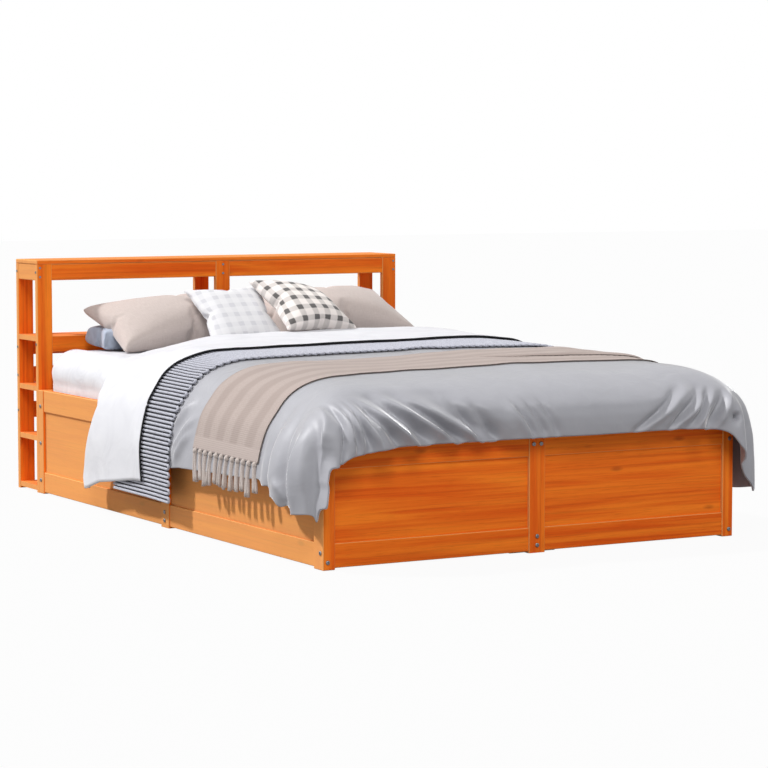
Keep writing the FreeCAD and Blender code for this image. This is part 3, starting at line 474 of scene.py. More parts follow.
# Folds on the foot end, in millimetres across from the left face of the frame and up
FOOT_FOLDS = (
    ((91, 518), (290, 346), 0.013, 0.030),
    ((170, 518), (430, 346), 0.014, 0.032),
    ((239, 514), (520, 346), 0.015, 0.030),
    ((105, 505), (235, 346), 0.020, -0.038),
    ((135, 520), (360, 346), 0.028, -0.052),
    ((207, 518), (475, 346), 0.030, -0.054),
    ((300, 512), (600, 346), 0.036, -0.036),
    ((39, 491), (-5, 365), 0.010, 0.014),
    ((59, 486), (66, 346), 0.009, 0.014),
    ((78, 497), (106, 346), 0.009, 0.016),
    ((91, 503), (160, 350), 0.010, 0.018),
    ((50, 488), (35, 350), 0.011, -0.020),
    ((40, 400), (10, 250), 0.012, -0.020),
    ((14, 470), (-20, 260), 0.011, 0.016),
    ((70, 490), (88, 346), 0.010, -0.016),
    ((86, 498), (135, 350), 0.012, -0.020),
    ((415, 490), (525, 346), 0.016, -0.020),
    ((475, 480), (578, 346), 0.015, -0.020),
    ((610, 480), (702, 346), 0.013, -0.016),
    ((655, 480), (742, 346), 0.013, -0.016),
    ((705, 480), (784, 346), 0.013, -0.016),
    ((590, 470), (680, 346), 0.014, 0.010),
    ((1279, 497), (1049, 354), 0.012, -0.022),
    ((1305, 495), (1075, 354), 0.014, 0.016),
    ((1333, 487), (1175, 354), 0.011, -0.022),
    ((1352, 487), (1200, 354), 0.012, 0.016),
    ((1359, 483), (1247, 354), 0.011, -0.020),
    ((1377, 481), (1268, 354), 0.011, 0.016),
    ((1402, 475), (1326, 354), 0.011, -0.024),
    ((1425, 470), (1352, 350), 0.012, 0.016),
    ((1419, 400), (1412, 368), 0.012, -0.030),
)
# Folds on the left drop, in millimetres behind the face of the footboard and up
SIDE_FOLDS = (
    ((47, 420), (36, 160), 0.016, 0.018),
    ((120, 430), (95, 185), 0.024, 0.016),
    ((210, 420), (190, 205), 0.028, 0.014),
    ((165, 260), (116, 185), 0.014, 0.012),
    ((775, 400), (895, 260), 0.014, 0.014),
    ((785, 345), (880, 235), 0.013, 0.014),
    ((830, 440), (905, 335), 0.014, 0.012),
)
from_frame = duvet_points - np.array([-half_width, foot_face, 0.0])
on_foot = ease(from_frame[..., 1], 0.11, 0.03)
on_side = ease(from_frame[..., 0], 0.08, 0.0)
from_corner = half_width - np.abs(duvet_points[..., 0])
flat_front = ease(from_corner, 0.03, 0.12)[..., None]
# The folds of the foot end stand straight out of it, so that they run on over the lip
OUT_OF_FOOT = np.array([0.0, -0.99, 0.12])
foot_way = duvet_normal * (1 - flat_front) + OUT_OF_FOOT * flat_front
foot_rise = on_foot * fold_height(from_frame[..., [0, 2]], FOOT_FOLDS)
side_rise = on_side * fold_height(from_frame[..., [1, 2]], SIDE_FOLDS)
duvet_points = duvet_points + foot_way * foot_rise[..., None] + duvet_normal * side_rise[..., None]


def satin(name, base, shade):
    """Cotton satin: fine and smooth, with a soft sheen where the folds catch the light."""
    made, tree, shader = material(name, IOR=1.5, Sheen_Weight=1.0, Sheen_Roughness=0.3,
                                  Specular_IOR_Level=0.5, Roughness=0.5)
    place = add(tree, "TexCoord").outputs["Object"]
    broad = add(tree, "TexNoise", {"Vector": place, "Scale": 1 / 0.06, "Detail": 4.0, "Distortion": 1.0})
    fold = broad.outputs["Fac"]
    # Painted shade: the colour turns to the shade tone in the hollows of the fold relief made from the same
    # noise
    colour = add(tree, "Mix", {0: fold, 6: shade, 7: base}, data_type="RGBA").outputs[2]
    tree.links.new(colour, shader.inputs["Base Color"])
    relief = {"Height": fold, "Strength": 0.25, "Distance": 0.006}
    tree.links.new(add(tree, "Bump", relief).outputs[0], shader.inputs["Normal"])
    return made


def thicken(piece, thickness):
    """Give a sheet a real thickness on its inner side."""
    shell = piece.modifiers.new("thickness", "SOLIDIFY")
    shell.thickness = thickness
    shell.offset = -1.0


duvet_flat = np.stack([duvet_across, duvet_along], axis=-1)
duvet_mesh = grid_mesh("duvet_cover", duvet_points, duvet_flat)
grey_satin = satin("grey_cotton_satin", "#A2A2A8", "#96969C")
duvet = new_piece("duvet_cover", duvet_mesh, grey_satin, "mattress")
thicken(duvet, COVER_THICK)
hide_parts("duvet")


# Turned-back head end of the duvet
# The duvet's head end is folded back towards the foot, so its white lining shows. The fold
# makes a soft roll in front of the pillows, and a black line runs along the free edge.

TURN_ROWS = 46
TURN_COLUMNS = 190
TURN_LIFT = 0.020
TURN_REACH = 1.60
TURN_THICK = 0.004
TURN_SLUMP = 0.042
# Radius of the roll on the top and down the side, and how far round it goes
ROLL_TOP = 0.024
ROLL_DROP = 0.010
ROLL_ROUND = math.pi * 1.15
ROLL_STEPS = 9
# Distances of the fold and of the free edge from the footboard, by how far the cloth has dropped
FOLD_DROP = (0.0, 0.02, 0.06, 0.19, 0.26, 0.35, 0.44, 0.50)
FOLD_LINE = (1.635, 1.622, 1.575, 1.470, 1.490, 1.530, 1.556, 1.540)
FREE_LINE = (1.140, 1.138, 1.130, 1.105, 1.100, 1.100, 1.100, 1.095)
TURN_HEM_ALONG = (0.80, 0.90, 1.17, 1.29, 1.36)
TURN_HEM = (0.150, 0.147, 0.112, 0.080, 0.076)
TURN_RIGHT_HEM = 0.25
RIGHT_SLANT = 0.3


def turn_back_points():
    """Rows of points over the turned-back part, ending in a roll, and their flat places."""
    share = np.linspace(-1, 1, TURN_COLUMNS)
    points = []
    flat = []
    for step in np.linspace(0, 1, TURN_ROWS):
        along = FREE_LINE[0] - START_IN + step * (TURN_REACH - FREE_LINE[0])
        hem = np.interp(along, TURN_HEM_ALONG, TURN_HEM)
        left = flat_half + left_edge.run_to(top_at(along) - hem)
        right = flat_half + right_edge.run_to(top_at(along) - TURN_RIGHT_HEM)
        across = np.where(share < 0, share * left, share * right)
        run = np.maximum(np.abs(across) - flat_half, 0)
        dropped = np.where(across < 0, left_edge.at(run)[1], right_edge.at(run)[1] * RIGHT_SLANT)
        fold = np.interp(dropped, FOLD_DROP, FOLD_LINE) - START_IN
        start = np.interp(dropped, FOLD_DROP, FREE_LINE) - START_IN
        row = start + step * (fold - start)
        points.append(drape(across, row, TURN_LIFT))
        flat.append(np.stack([across, row], axis=-1))
    points = np.array(points)
    inset = points[..., 0] + half_width
    slump = ease(inset, 0.52, 0.16) * ease(points[..., 1], foot_face + 1.25, foot_face + 1.63)
    slump = slump * ease(points[..., 2], 0.30, 0.50)
    points[..., 2] -= TURN_SLUMP * slump
    edge = points[-1]
    normal = grid_normals(points)[-1]
    ahead = edge - points[-2]
    ahead = ahead / np.linalg.norm(ahead, axis=-1, keepdims=True)
    radius = np.interp(edge[:, 2], (0.40, 0.50), (ROLL_DROP, ROLL_TOP))[:, None]
    rolled = [points]
    for turn in np.linspace(0, ROLL_ROUND, ROLL_STEPS)[1:]:
        row = edge + ahead * radius * math.sin(turn) - normal * radius * (1 - math.cos(turn))
        rolled.append(row[None])
        flat.append(flat[TURN_ROWS - 1] + np.array([0, radius.max() * turn]))
    return np.concatenate(rolled), np.array(flat)


turn_points, turn_flat = turn_back_points()
white_cotton = cotton("white_lining_cotton", "#D8D8DC", "#CECED3", crease=0.16, creasing=0.25)
turn_mesh = grid_mesh("duvet_turn_back", turn_points, turn_flat)
turn_back = new_piece("duvet_turn_back", turn_mesh, white_cotton, "mattress")
thicken(turn_back, TURN_THICK)
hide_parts("duvet")


def tube_rings(path, radius, sides):
    """Rings of points round a path, the radius being one size or one for each point."""
    path = np.asarray(path, float)
    tangent = np.gradient(path, axis=0)
    tangent = tangent / (np.linalg.norm(tangent, axis=1, keepdims=True) + 1e-12)
    guide = np.where(np.abs(tangent[:, 2:]) > 0.9, [[1.0, 0, 0]], [[0, 0, 1.0]])
    first = np.cross(tangent, guide)
    first = first / (np.linalg.norm(first, axis=1, keepdims=True) + 1e-12)
    second = np.cross(tangent, first)
    angles = np.linspace(0, 2 * math.pi, sides, endpoint=False)
    ring = first[:, None] * np.cos(angles)[:, None] + second[:, None] * np.sin(angles)[:, None]
    return path[:, None] + ring * np.broadcast_to(np.asarray(radius), len(path))[:, None, None]


def tubes_mesh(name, paths, radii, sides=6):
    """One mesh of many capped tubes."""
    points = []
    faces = []
    for path, radius in zip(paths, radii):
        rings = tube_rings(path, radius, sides)
        first = len(points)
        points.extend(rings.reshape(-1, 3).tolist())
        for ring in range(len(rings) - 1):
            for side in range(sides):
                here = first + ring * sides + side
                beside = first + ring * sides + (side + 1) % sides
                faces.append((here, here + sides, beside + sides, beside))
        last = first + (len(rings) - 1) * sides
        faces.append(tuple(range(first, first + sides)))
        faces.append(tuple(range(last + sides - 1, last - 1, -1)))
    mesh = bpy.data.meshes.new(name)
    mesh.from_pydata(points, [], faces)
    return mesh


def plain_cloth(name, base, shade, fluff, sheen=0.3):
    """Matt yarn or tape in one colour, mottled by tufts of fibre of a size that shows."""
    made, tree, shader = material(name, IOR=1.46, Sheen_Weight=sheen, Roughness=0.9)
    place = add(tree, "TexCoord").outputs["Object"]
    fibre = add(tree, "TexNoise", {"Vector": place, "Scale": 1 / fluff, "Detail": 2.0}).outputs["Fac"]
    share = add(tree, "MapRange", {0: fibre, 1: 0.35, 2: 0.65}).outputs[0]
    colour = add(tree, "Mix", {0: share, 6: shade, 7: base}, data_type="RGBA").outputs[2]
    tree.links.new(colour, shader.inputs["Base Color"])
    relief = {"Height": fibre, "Strength": 0.4, "Distance": 0.001}
    tree.links.new(add(tree, "Bump", relief).outputs[0], shader.inputs["Normal"])
    return made


# A black tube along the free edge of the turn-back
BLACK_EDGE_RADIUS = 0.0027
black_edge_finish = plain_cloth("black_edge_line", "#18181B", "#0F0F11", fluff=0.003, sheen=0.0)
black_edge_path = turn_points[0] - grid_normals(turn_points)[0] * TURN_THICK / 2
black_edge_mesh = tubes_mesh("turn_back_piping", [black_edge_path], [BLACK_EDGE_RADIUS], sides=8)
new_piece("turn_back_piping", black_edge_mesh, black_edge_finish, "mattress")


# Grey throw
# A dark backing cloth with pale grey yarn laid on it in hairpins, side by side across the
# whole throw. The bends of the hairpins make the looped edge on the foot side.

GREY_START = 0.918
GREY_WIDE = 0.415
GREY_LEFT_HEM = 0.098
GREY_RIGHT_HEM = 0.40
GREY_LIFT = 0.004
HAIRPIN_PITCH = 0.0260
HAIRPIN_WIDE = 0.0128
HAIRPIN_SHORT = 0.004
LEG_STEPS = 6
BEND_STEPS = 11
BACKING_THICK = 0.002
YARN = 0.0046


def throw_grid(start, wide, left_hem, right_hem, lift, rows, spacing):
    """A throw laid over the duvet: its points, its flat places and its two ends across."""
    along = start - START_IN + np.linspace(0, wide, rows)
    middle = top_at(along.mean())
    left = -flat_half - left_edge.run_to(middle - left_hem)
    right = flat_half + right_edge.run_to(middle - right_hem)
    across = np.linspace(left, right, int((right - left) / spacing))
    flat = np.stack(np.meshgrid(across, along), axis=-1)
    return drape(flat[..., 0], flat[..., 1], lift), flat, left, right


grey_points, grey_flat, grey_left, grey_right = throw_grid(
    GREY_START + YARN, GREY_WIDE - YARN, GREY_LEFT_HEM, GREY_RIGHT_HEM, GREY_LIFT, rows=24, spacing=0.014)
grey_mesh = grid_mesh("grey_throw_backing", grey_points, grey_flat)
charcoal = plain_cloth("charcoal_backing", "#3A3B42", "#2B2C32", fluff=0.004)
grey_throw = new_piece("grey_throw_backing", grey_mesh, charcoal, "mattress")
thicken(grey_throw, BACKING_THICK)
yarn_paths = []
bend = np.linspace(0, math.pi, BEND_STEPS)
leg = np.linspace(GREY_WIDE - HAIRPIN_SHORT, HAIRPIN_WIDE, LEG_STEPS)
for first in np.arange(grey_left + YARN, grey_right - HAIRPIN_WIDE - YARN, HAIRPIN_PITCH):
    middle = first + HAIRPIN_WIDE / 2
    over = middle - HAIRPIN_WIDE / 2 * np.cos(bend) * (1 + 0.35 * np.sin(bend))
    legs_across = [np.full(LEG_STEPS, place) for place in (first, first + HAIRPIN_WIDE)]
    places_across = np.concatenate([legs_across[0], over, legs_across[1]])
    places_along = np.concatenate([leg, HAIRPIN_WIDE * (0.6 - 1.3 * np.sin(bend)), leg[::-1]])
    places_along = places_along + GREY_START - START_IN
    yarn_paths.append(drape(places_across, places_along, GREY_LIFT + YARN * 0.8))
yarn_mesh = tubes_mesh("grey_throw_yarn", yarn_paths, [YARN] * len(yarn_paths))
pale_yarn = plain_cloth("pale_grey_yarn", "#B9BAC4", "#9D9EA9", fluff=0.005)
yarn = new_piece("grey_throw_yarn", yarn_mesh, pale_yarn, "mattress")
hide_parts("throw_grey")


# Beige throw
# A woven cotton throw with tonal stripes, a plain left hem and knotted tassels. It lies across
# the duvet, doubled on the right. A dark line runs along its foot edge and painted shadow along the fold.

BEIGE_START = 0.316
BEIGE_WIDE = 0.440
BEIGE_LEFT_HEM = 0.282
BEIGE_RIGHT_HEM = 0.42
BEIGE_LIFT = 0.004
TASSELS = 12
TASSEL_LONG = 0.100
TASSEL_STRANDS = 5
TASSEL_SPREAD = 0.0060
STRAND_STEPS = 8
STRAND_RADII = (0.0050, 0.0048)
KNOT_RADII = (0.003, 0.0075, 0.0090, 0.0085, 0.006)
KNOT_UP = 0.004
KNOT_LONG = 0.018
HEM_BAND = 0.040
BEIGE_THICK = 0.0025
# A wave pattern of scale 1 repeats at this many metres
WAVE_PITCH = 0.314


def striped_weave():
    """Woven cotton: warm grey-beige, with paler and darker stripes 95 mm apart, a paler hem, and ribs
    drawn 6 mm apart to show."""
    made, tree, shader = material("beige_striped_weave", IOR=1.46, Sheen_Weight=0.1, Roughness=0.95)
    flat = add(tree, "UVMap", uv_map="cloth").outputs[0]
    place = add(tree, "TexCoord").outputs["Object"]
    stripes = {"Vector": flat, "Scale": WAVE_PITCH / 0.095, "Distortion": 1.2, "Detail": 2.0}
    stripe = add(tree, "TexWave", stripes, bands_direction="Y").outputs["Fac"]
    fibre = add(tree, "TexNoise", {"Vector": place, "Scale": 1 / 0.004, "Detail": 2.0}).outputs["Fac"]
    end = add(tree, "SeparateXYZ", {0: flat}).outputs[0]
    hem = beige_left + HEM_BAND
    # Each layer's pattern, where it starts and is full, how much it covers, and its colour
    layers = (
        (stripe, 0.25, 0.75, 1.0, "#A99B95"),
        (fibre, 0.35, 0.65, 0.35, "#95877F"),
        (end, hem + 0.002, hem, 1.0, "#AA9C96"),
    )
    colour = "#9C8E88"
    for pattern, start, full, cover, tint in layers:
        share = add(tree, "MapRange", {0: pattern, 1: start, 2: full, 3: 0.0, 4: cover}).outputs[0]
        colour = add(tree, "Mix", {0: share, 6: colour, 7: tint}, data_type="RGBA").outputs[2]
    tree.links.new(colour, shader.inputs["Base Color"])
    rib = {"Vector": flat, "Scale": WAVE_PITCH / 0.006, "Distortion": 0.6, "Detail": 1.0}
    ribs = add(tree, "TexWave", rib, bands_direction="X").outputs["Fac"]
    relief = {"Height": ribs, "Strength": 0.25, "Distance": 0.001}
    tree.links.new(add(tree, "Bump", relief).outputs[0], shader.inputs["Normal"])
    return made


beige_points, beige_flat, beige_left, beige_right = throw_grid(
    BEIGE_START, BEIGE_WIDE, BEIGE_LEFT_HEM, BEIGE_RIGHT_HEM, BEIGE_LIFT, rows=88, spacing=0.006)


DOUBLED = 0.008
# A place on the edge of the doubled part, across and along from the frame's left foot corner
DOUBLED_AT = (0.984, 0.521)
DOUBLED_SLANT = 0.267
DOUBLED_SPAN = (0.02, 0.28)
# Radius of the dark line along the foot edge, and where the painted fold shadow starts and is full
FOOT_EDGE_RADIUS = 0.0012
FOLD_SHADOW_START = 0.14
FOLD_SHADOW_FULL = 0.45


def doubled_edge(across):
    """How far along the cloth the edge of the doubled part runs, towards the right end."""
    return DOUBLED_AT[1] - DOUBLED_SLANT * (across + half_width - DOUBLED_AT[0]) - START_IN


past_edge = beige_flat[..., 1] - doubled_edge(beige_flat[..., 0])
beige_points[..., 2] += DOUBLED * ease(beige_flat[..., 0], *DOUBLED_SPAN) * ease(past_edge, -0.004, 0.004)
beige_mesh = grid_mesh("beige_throw", beige_points, beige_flat)
beige_throw = new_piece("beige_throw", beige_mesh, striped_weave(), "mattress")
thicken(beige_throw, BEIGE_THICK)

fringe_paths = []
fringe_radii = []
chance = random.Random(4)
for hem_across, outward in ((beige_left, -1), (beige_right, 1)):
    for number in range(TASSELS):
        along = BEIGE_START - START_IN + BEIGE_WIDE * (number + 0.5) / TASSELS
        knot = drape(hem_across, along, BEIGE_LIFT)
        lean = chance.uniform(-0.012, 0.012)
        length = TASSEL_LONG * chance.uniform(0.88, 1.12)
        for strand in range(TASSEL_STRANDS):
            turn = strand * 2 * math.pi / TASSEL_STRANDS + chance.uniform(0, 1)
            spread = TASSEL_SPREAD * np.array([0.6 * math.cos(turn), math.sin(turn), 0])
            fall = np.linspace(0, 1, STRAND_STEPS)[:, None]
            swing = np.sin(fall * chance.uniform(2, 5)) * 0.003
            path = knot + fall * [0, lean, -length * chance.uniform(0.92, 1.0)] + np.sqrt(fall) * spread
            path = path + swing * [0, 1, 0] + fall * [outward * 0.004, 0, 0]
            fringe_paths.append(path)
            fringe_radii.append(np.linspace(*STRAND_RADII, STRAND_STEPS))
        around = np.linspace(0, 1, len(KNOT_RADII))[:, None]
        fringe_paths.append(knot + [0, 0, KNOT_UP] - around * [0, 0, KNOT_LONG])
        fringe_radii.append(np.array(KNOT_RADII))
fringe_mesh = tubes_mesh("beige_throw_fringe", fringe_paths, fringe_radii)
beige_yarn = plain_cloth("beige_cotton_yarn", "#BDB2AC", "#A89C95", fluff=0.003)
fringe = new_piece("beige_throw_fringe", fringe_mesh, beige_yarn, "mattress")
# Painted shadow: a dark tube, thin at the left, stands in for the shade under the doubled part's edge
doubled_across = np.linspace(FOLD_SHADOW_START, float(beige_right), 90)
fold_shadow_line = drape(doubled_across, doubled_edge(doubled_across) - 0.003, BEIGE_LIFT + 0.002)
fold_shadow_radius = 0.0002 + 0.0014 * ease(doubled_across, FOLD_SHADOW_START, FOLD_SHADOW_FULL)
edge_and_fold_shadow_lines = [beige_points[0], fold_shadow_line]
edge_and_fold_shadow_mesh = tubes_mesh("beige_throw_edging", edge_and_fold_shadow_lines, [FOOT_EDGE_RADIUS, fold_shadow_radius])
edge_and_fold_shadow_finish = plain_cloth("dark_edge_and_fold_shadow", "#5E544E", "#4A413C", fluff=0.003)
edge_and_fold_shadow = new_piece("beige_throw_edging", edge_and_fold_shadow_mesh, edge_and_fold_shadow_finish, "mattress")
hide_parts("throw_beige")


# Pillows
# Two linen pillows lean on the bookcase, and a small cotton pillow lies behind the left one.
# Each is a bag of filling with sewn edges, blown up by simulation and laid between its corners.

PILLOW_FULLNESS = 0.60
PILLOW_UNDER = 0.60
PILLOW_SLIM_ENDS = 0.35
BAG_PRESSURE = 9.0
BAG_SPACING = 0.012
BAG_FRAMES = 24
BAG_OPEN = 0.002


def inflated(name, width, depth):
    """A sewn bag of two flat sheets, blown up by cloth simulation; its points in metres."""
    columns = int(width / BAG_SPACING) + 1
    rows = int(depth / BAG_SPACING) + 1
    x, y = np.meshgrid(np.linspace(-width / 2, width / 2, columns), np.linspace(-depth / 2, depth / 2, rows))
    sheets = [np.stack([x, y, np.full_like(x, side * BAG_OPEN)], axis=-1) for side in (1, -1)]
    bag = bmesh.new()
    for sheet in sheets:
        corners = [[bag.verts.new(point) for point in row] for row in sheet]
        for upper, lower in zip(corners, corners[1:]):
            for number in range(columns - 1):
                quad = [upper[number], upper[number + 1], lower[number + 1], lower[number]]
                bag.faces.new(quad if sheet[0, 0, 2] > 0 else quad[::-1])
    near = 1e-5
    rim = [v for v in bag.verts
           if abs(abs(v.co.x) - width / 2) < near or abs(abs(v.co.y) - depth / 2) < near]
    for vertex in rim:
        vertex.co.z = 0
    bmesh.ops.remove_doubles(bag, verts=rim, dist=near)
    mesh = bpy.data.meshes.new(name)
    bag.to_mesh(mesh)
    bag.free()
    piece = bpy.data.objects.new(name, mesh)
    bpy.context.scene.collection.objects.link(piece)
    cloth = piece.modifiers.new("cloth", "CLOTH")
    cloth.settings.use_pressure = True
    cloth.settings.uniform_pressure_force = BAG_PRESSURE
    cloth.settings.effector_weights.gravity = 0
    cloth.settings.tension_stiffness = 30
    cloth.settings.compression_stiffness = 30
    cloth.settings.bending_stiffness = 0.3
    cloth.settings.quality = 6
    cloth.point_cache.frame_end = BAG_FRAMES
    for number in range(1, BAG_FRAMES + 1):
        bpy.context.scene.frame_set(number)
    settled = piece.evaluated_get(bpy.context.evaluated_depsgraph_get())
    points = np.array([v.co for v in settled.data.vertices])
    faces = [tuple(p.vertices) for p in settled.data.polygons]
    flat = np.array([v.co for v in mesh.vertices])[:, :2]
    bpy.data.objects.remove(piece)
    bpy.context.scene.frame_set(1)
    return points, faces, flat


def laid_pillow(name, bag, corners, thick, bow, finish, body, pressed=1.0,
                fullness=PILLOW_FULLNESS, slim_ends=PILLOW_SLIM_ENDS):
    """A blown-up bag between its low left, low right, high left and high right corners, in the
    bed's millimetres, and flatter underneath. The share pressed is what is left of its thickness
    where something lies on all but its left end."""
    points, faces, flat = bag
    corners = [np.array(c) / 1000 + [-half_width, foot_face, 0] for c in corners]
    low_left, low_right, high_left, high_right = corners
    across = points[:, 0:1] / np.abs(points[:, 0]).max()
    up = points[:, 1:2] / np.abs(points[:, 1]).max()
    s = (across + 1) / 2
    t = (up + 1) / 2
    place = (low_left * (1 - s) + low_right * s) * (1 - t) + (high_left * (1 - s) + high_right * s) * t
    facing = np.cross(low_right - low_left, high_left - low_left)
    facing = facing / np.linalg.norm(facing)
    plump = points[:, 2:3] / np.abs(points[:, 2]).max()
    plump = np.sign(plump) * np.abs(plump) ** fullness
    plump = np.where(plump > 0, plump, plump * PILLOW_UNDER)
    slim = 1 - slim_ends * ease(np.abs(across), 0.45, 1.0)
    lost = (1 - pressed) * ease(s, 0.10, 0.38)
    place = place - np.array([0, 0, PILLOW_UNDER * thick / 2000]) * lost
    depth = plump * slim * thick / 2000 * (1 - lost)
    arch = bow / 1000 * (1 - across ** 2) * (1 - up ** 2)
    mesh = bpy.data.meshes.new(name)
    mesh.from_pydata((place + facing * (depth + arch)).tolist(), [], faces)
    order = [number for face in faces for number in face]
    mesh.uv_layers.new(name="cloth").data.foreach_set("uv", flat[order].reshape(-1))
    piece = new_piece(name, mesh, finish, body)
    smoother = piece.modifiers.new("smooth", "SUBSURF")
    smoother.levels = 1
    smoother.render_levels = 1
    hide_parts(body)


def linen(name, base, shade):
    """Washed linen: matt, with slubs along both threads, drawn 2 mm wide and 30 mm long to show."""
    made, tree, shader = material(name, IOR=1.46, Sheen_Weight=0.25, Roughness=0.92)
    flat = add(tree, "UVMap", uv_map="cloth").outputs[0]
    slubs = []
    for scale in ((1 / 0.030, 1 / 0.002, 1.0), (1 / 0.002, 1 / 0.030, 1.0)):
        place = add(tree, "Mapping", {"Vector": flat, "Scale": scale}).outputs[0]
        slubs.append(add(tree, "TexNoise", {"Vector": place, "Scale": 1.0, "Detail": 1.0}).outputs["Fac"])
    weave = add(tree, "Math", {0: slubs[0], 1: slubs[1]}, operation="ADD").outputs[0]
    share = add(tree, "MapRange", {0: weave, 1: 0.7, 2: 1.3}).outputs[0]
    colour = add(tree, "Mix", {0: share, 6: shade, 7: base}, data_type="RGBA").outputs[2]
    tree.links.new(colour, shader.inputs["Base Color"])
    relief = {"Height": weave, "Strength": 0.25, "Distance": 0.0008}
    tree.links.new(add(tree, "Bump", relief).outputs[0], shader.inputs["Normal"])
    return made


beige_linen = linen("beige_linen", "#C7BAB4", "#BBADA7")
pillow_bag = inflated("pillow_bag", width=0.62, depth=0.42)
laid_pillow("linen_pillow_left", pillow_bag,
            [(194, 1780, 510), (772, 1790, 508), (152, 2066, 644), (762, 2068, 678)],
            thick=172, bow=18, finish=beige_linen, body="pillow_left",
            slim_ends=0.15)
laid_pillow("linen_pillow_right", pillow_bag,
            [(800, 1790, 512), (1382, 1795, 542), (800, 2068, 674), (1338, 2068, 684)],
            thick=172, bow=18, finish=beige_linen, body="pillow_right")
blue_cotton = cotton("blue_grey_cotton", "#A9B3C4", "#98A2B3", crease=0.06)
small_bag = inflated("small_bag", width=0.56, depth=0.24)
laid_pillow("cotton_pillow_small", small_bag,
            [(166, 1900, 533), (690, 1900, 533), (166, 2076, 547), (690, 2076, 547)],
            thick=104, bow=0, finish=blue_cotton, body="pillow_small",
            pressed=0.25, fullness=0.30, slim_ends=0.0)


# Cushions
# Two square cushions lean on the pillows: a flat white one with a faint woven check, and a fuller
# one in a black and off-white check. They are sewn and blown up as the pillows are.

def checked(name, ground, line, strength, check):
    """Woven check: dark bands across and along, darkest where they cross, with ragged dashes."""
    made, tree, shader = material(name, IOR=1.46, Sheen_Weight=0.2, Roughness=0.9)
    flat = add(tree, "UVMap", uv_map="cloth").outputs[0]
    bands = []
    for direction in ("X", "Y"):
        band = {"Vector": flat, "Scale": WAVE_PITCH / check, "Distortion": 0.5}
        band.update({"Detail": 2.0, "Detail Scale": 3.0})
        wave = add(tree, "TexWave", band, bands_direction=direction).outputs["Fac"]
        bands.append(add(tree, "MapRange", {0: wave, 1: 0.45, 2: 0.75}).outputs[0])
    both = add(tree, "Math", {0: bands[0], 1: bands[1]}, operation="MULTIPLY").outputs[0]
    either = add(tree, "Math", {0: bands[0], 1: bands[1]}, operation="MAXIMUM").outputs[0]
    colour = ground
    for pattern, start, full, cover in ((either, 0.0, 1.0, strength * 0.35), (both, 0.2, 0.8, strength)):
        share = add(tree, "MapRange", {0: pattern, 1: start, 2: full, 3: 0.0, 4: cover}).outputs[0]
        colour = add(tree, "Mix", {0: share, 6: colour, 7: line}, data_type="RGBA").outputs[2]
    tree.links.new(colour, shader.inputs["Base Color"])
    relief = {"Height": both, "Strength": 0.2, "Distance": 0.001}
    tree.links.new(add(tree, "Bump", relief).outputs[0], shader.inputs["Normal"])
    return made


cushion_bag = inflated("cushion_bag", width=0.42, depth=0.42)
white_check = checked("white_woven_check", "#DFDEE0", "#A2A2AC", 0.30, check=0.060)
laid_pillow("checked_cushion_white", cushion_bag,
            [(470, 1662, 518), (782, 1662, 520), (455, 1872, 714), (765, 1872, 722)],
            thick=80, bow=4, finish=white_check, body="cushion_white")
black_check = checked("black_woven_check", "#EEE6E1", "#2B2A2B", 0.85, check=0.068)
laid_pillow("checked_cushion_black", cushion_bag,
            [(730, 1600, 578), (1025, 1612, 570), (690, 1826, 743), (975, 1836, 688)],
            thick=125, bow=10, finish=black_check, body="cushion_plaid")


# Floor, light and camera
# A plain white floor that keeps a soft shadow, a dim even sky that looks white, a window lamp
# from the left behind the head end, a soft fill lamp from the front, and a long lens.

FLOOR_WHITE = 0.95
FLOOR_REACH = 30.0
FLOOR_BELOW = -0.0005
SKY_LIGHT = 0.34
TILT_DOWN = 4.72358
TURN_RIGHT = 29.88655


def white_floor():
    """Matt studio floor: white to the camera with a trace of shadow, and a grey that sends little
    light back up."""
    made, tree, shader = material("white_studio_floor", Roughness=1.0)
    shader.inputs["Base Color"].default_value = linear("#A8A8A8")
    glow = add(tree, "Emission", {"Strength": 1.0})
    seen = add(tree, "LightPath").outputs["Is Camera Ray"]
    share = add(tree, "Math", {0: seen, 1: FLOOR_WHITE}, operation="MULTIPLY").outputs[0]
    both = add(tree, "MixShader", {0: share, 1: shader.outputs[0], 2: glow.outputs[0]})
    output = tree.nodes["Material Output"]
    tree.links.new(both.outputs[0], output.inputs["Surface"])
    return made


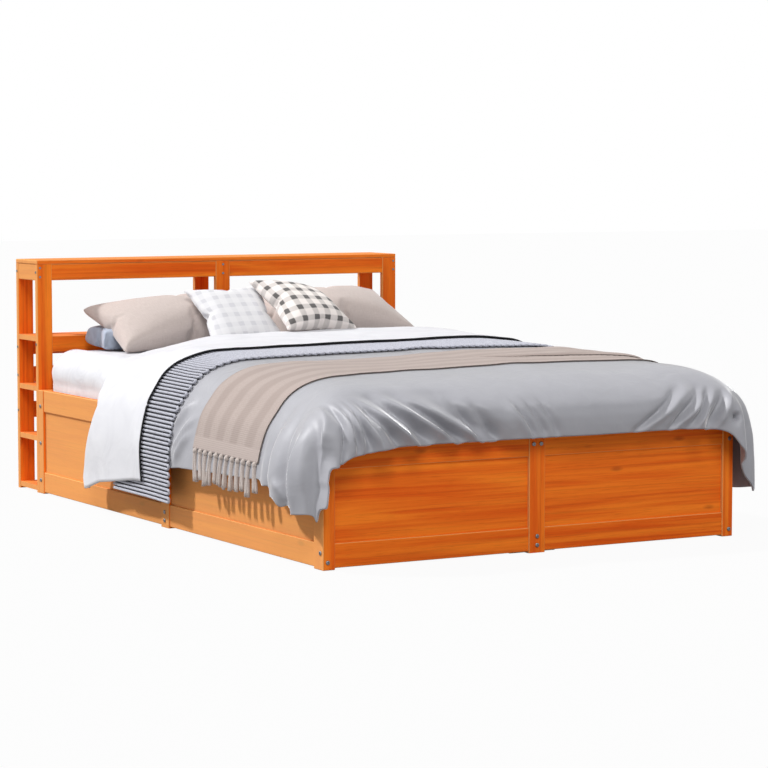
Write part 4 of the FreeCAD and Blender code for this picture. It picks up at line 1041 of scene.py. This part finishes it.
floor_mesh = bpy.data.meshes.new("studio_floor")
floor_plan = ((-1, -1), (1, -1), (1, 1), (-1, 1))
floor_corners = [(x * FLOOR_REACH, y * FLOOR_REACH, FLOOR_BELOW) for x, y in floor_plan]
floor_mesh.from_pydata(floor_corners, [], [(0, 1, 2, 3)])
floor_mesh.materials.append(white_floor())
floor = bpy.data.objects.new("studio_floor", floor_mesh)
bpy.context.scene.collection.objects.link(floor)

world = bpy.data.worlds.new("studio")
bpy.context.scene.world = world
world.use_nodes = True
sky = world.node_tree
background = sky.nodes["Background"]
background.inputs["Color"].default_value = (1.0, 1.0, 1.0, 1.0)
path = add(sky, "LightPath").outputs
rays = {0: path["Is Camera Ray"], 1: path["Is Glossy Ray"]}
mirrored = add(sky, "Math", rays, operation="MAXIMUM").outputs[0]
rays = {0: mirrored, 1: path["Is Transmission Ray"]}
shown = add(sky, "Math", rays, operation="MAXIMUM").outputs[0]
strength = add(sky, "MapRange", {0: shown, 1: 0.0, 2: 1.0, 3: SKY_LIGHT, 4: 1.0}).outputs[0]
sky.links.new(strength, background.inputs["Strength"])


def far_lamp(name, light_from, energy, spread):
    """A lamp so far away that its light comes from one direction."""
    lamp = bpy.data.lights.new(name, "SUN")
    lamp.energy = energy
    lamp.angle = math.radians(spread)
    holder = bpy.data.objects.new(name, lamp)
    holder.rotation_euler = Vector(light_from).to_track_quat("Z", "Y").to_euler()
    bpy.context.scene.collection.objects.link(holder)


far_lamp("window_light", (-1.0, 0.8, 1.35), energy=3.0, spread=4)
far_lamp("fill_light", (-0.5, -1.1, 1.3), energy=1.6, spread=28)

lens = bpy.data.cameras.new("view")
lens.sensor_width = 36.0
lens.lens = 124.733
lens.clip_end = 100.0
camera = bpy.data.objects.new("view", lens)
camera.location = (-4.32343, -7.73748, 1.15696)
camera.rotation_euler = (math.radians(90 - TILT_DOWN), 0.0, math.radians(-TURN_RIGHT))
bpy.context.scene.collection.objects.link(camera)
bpy.context.scene.camera = camera
bpy.context.scene.view_settings.view_transform = "Standard"
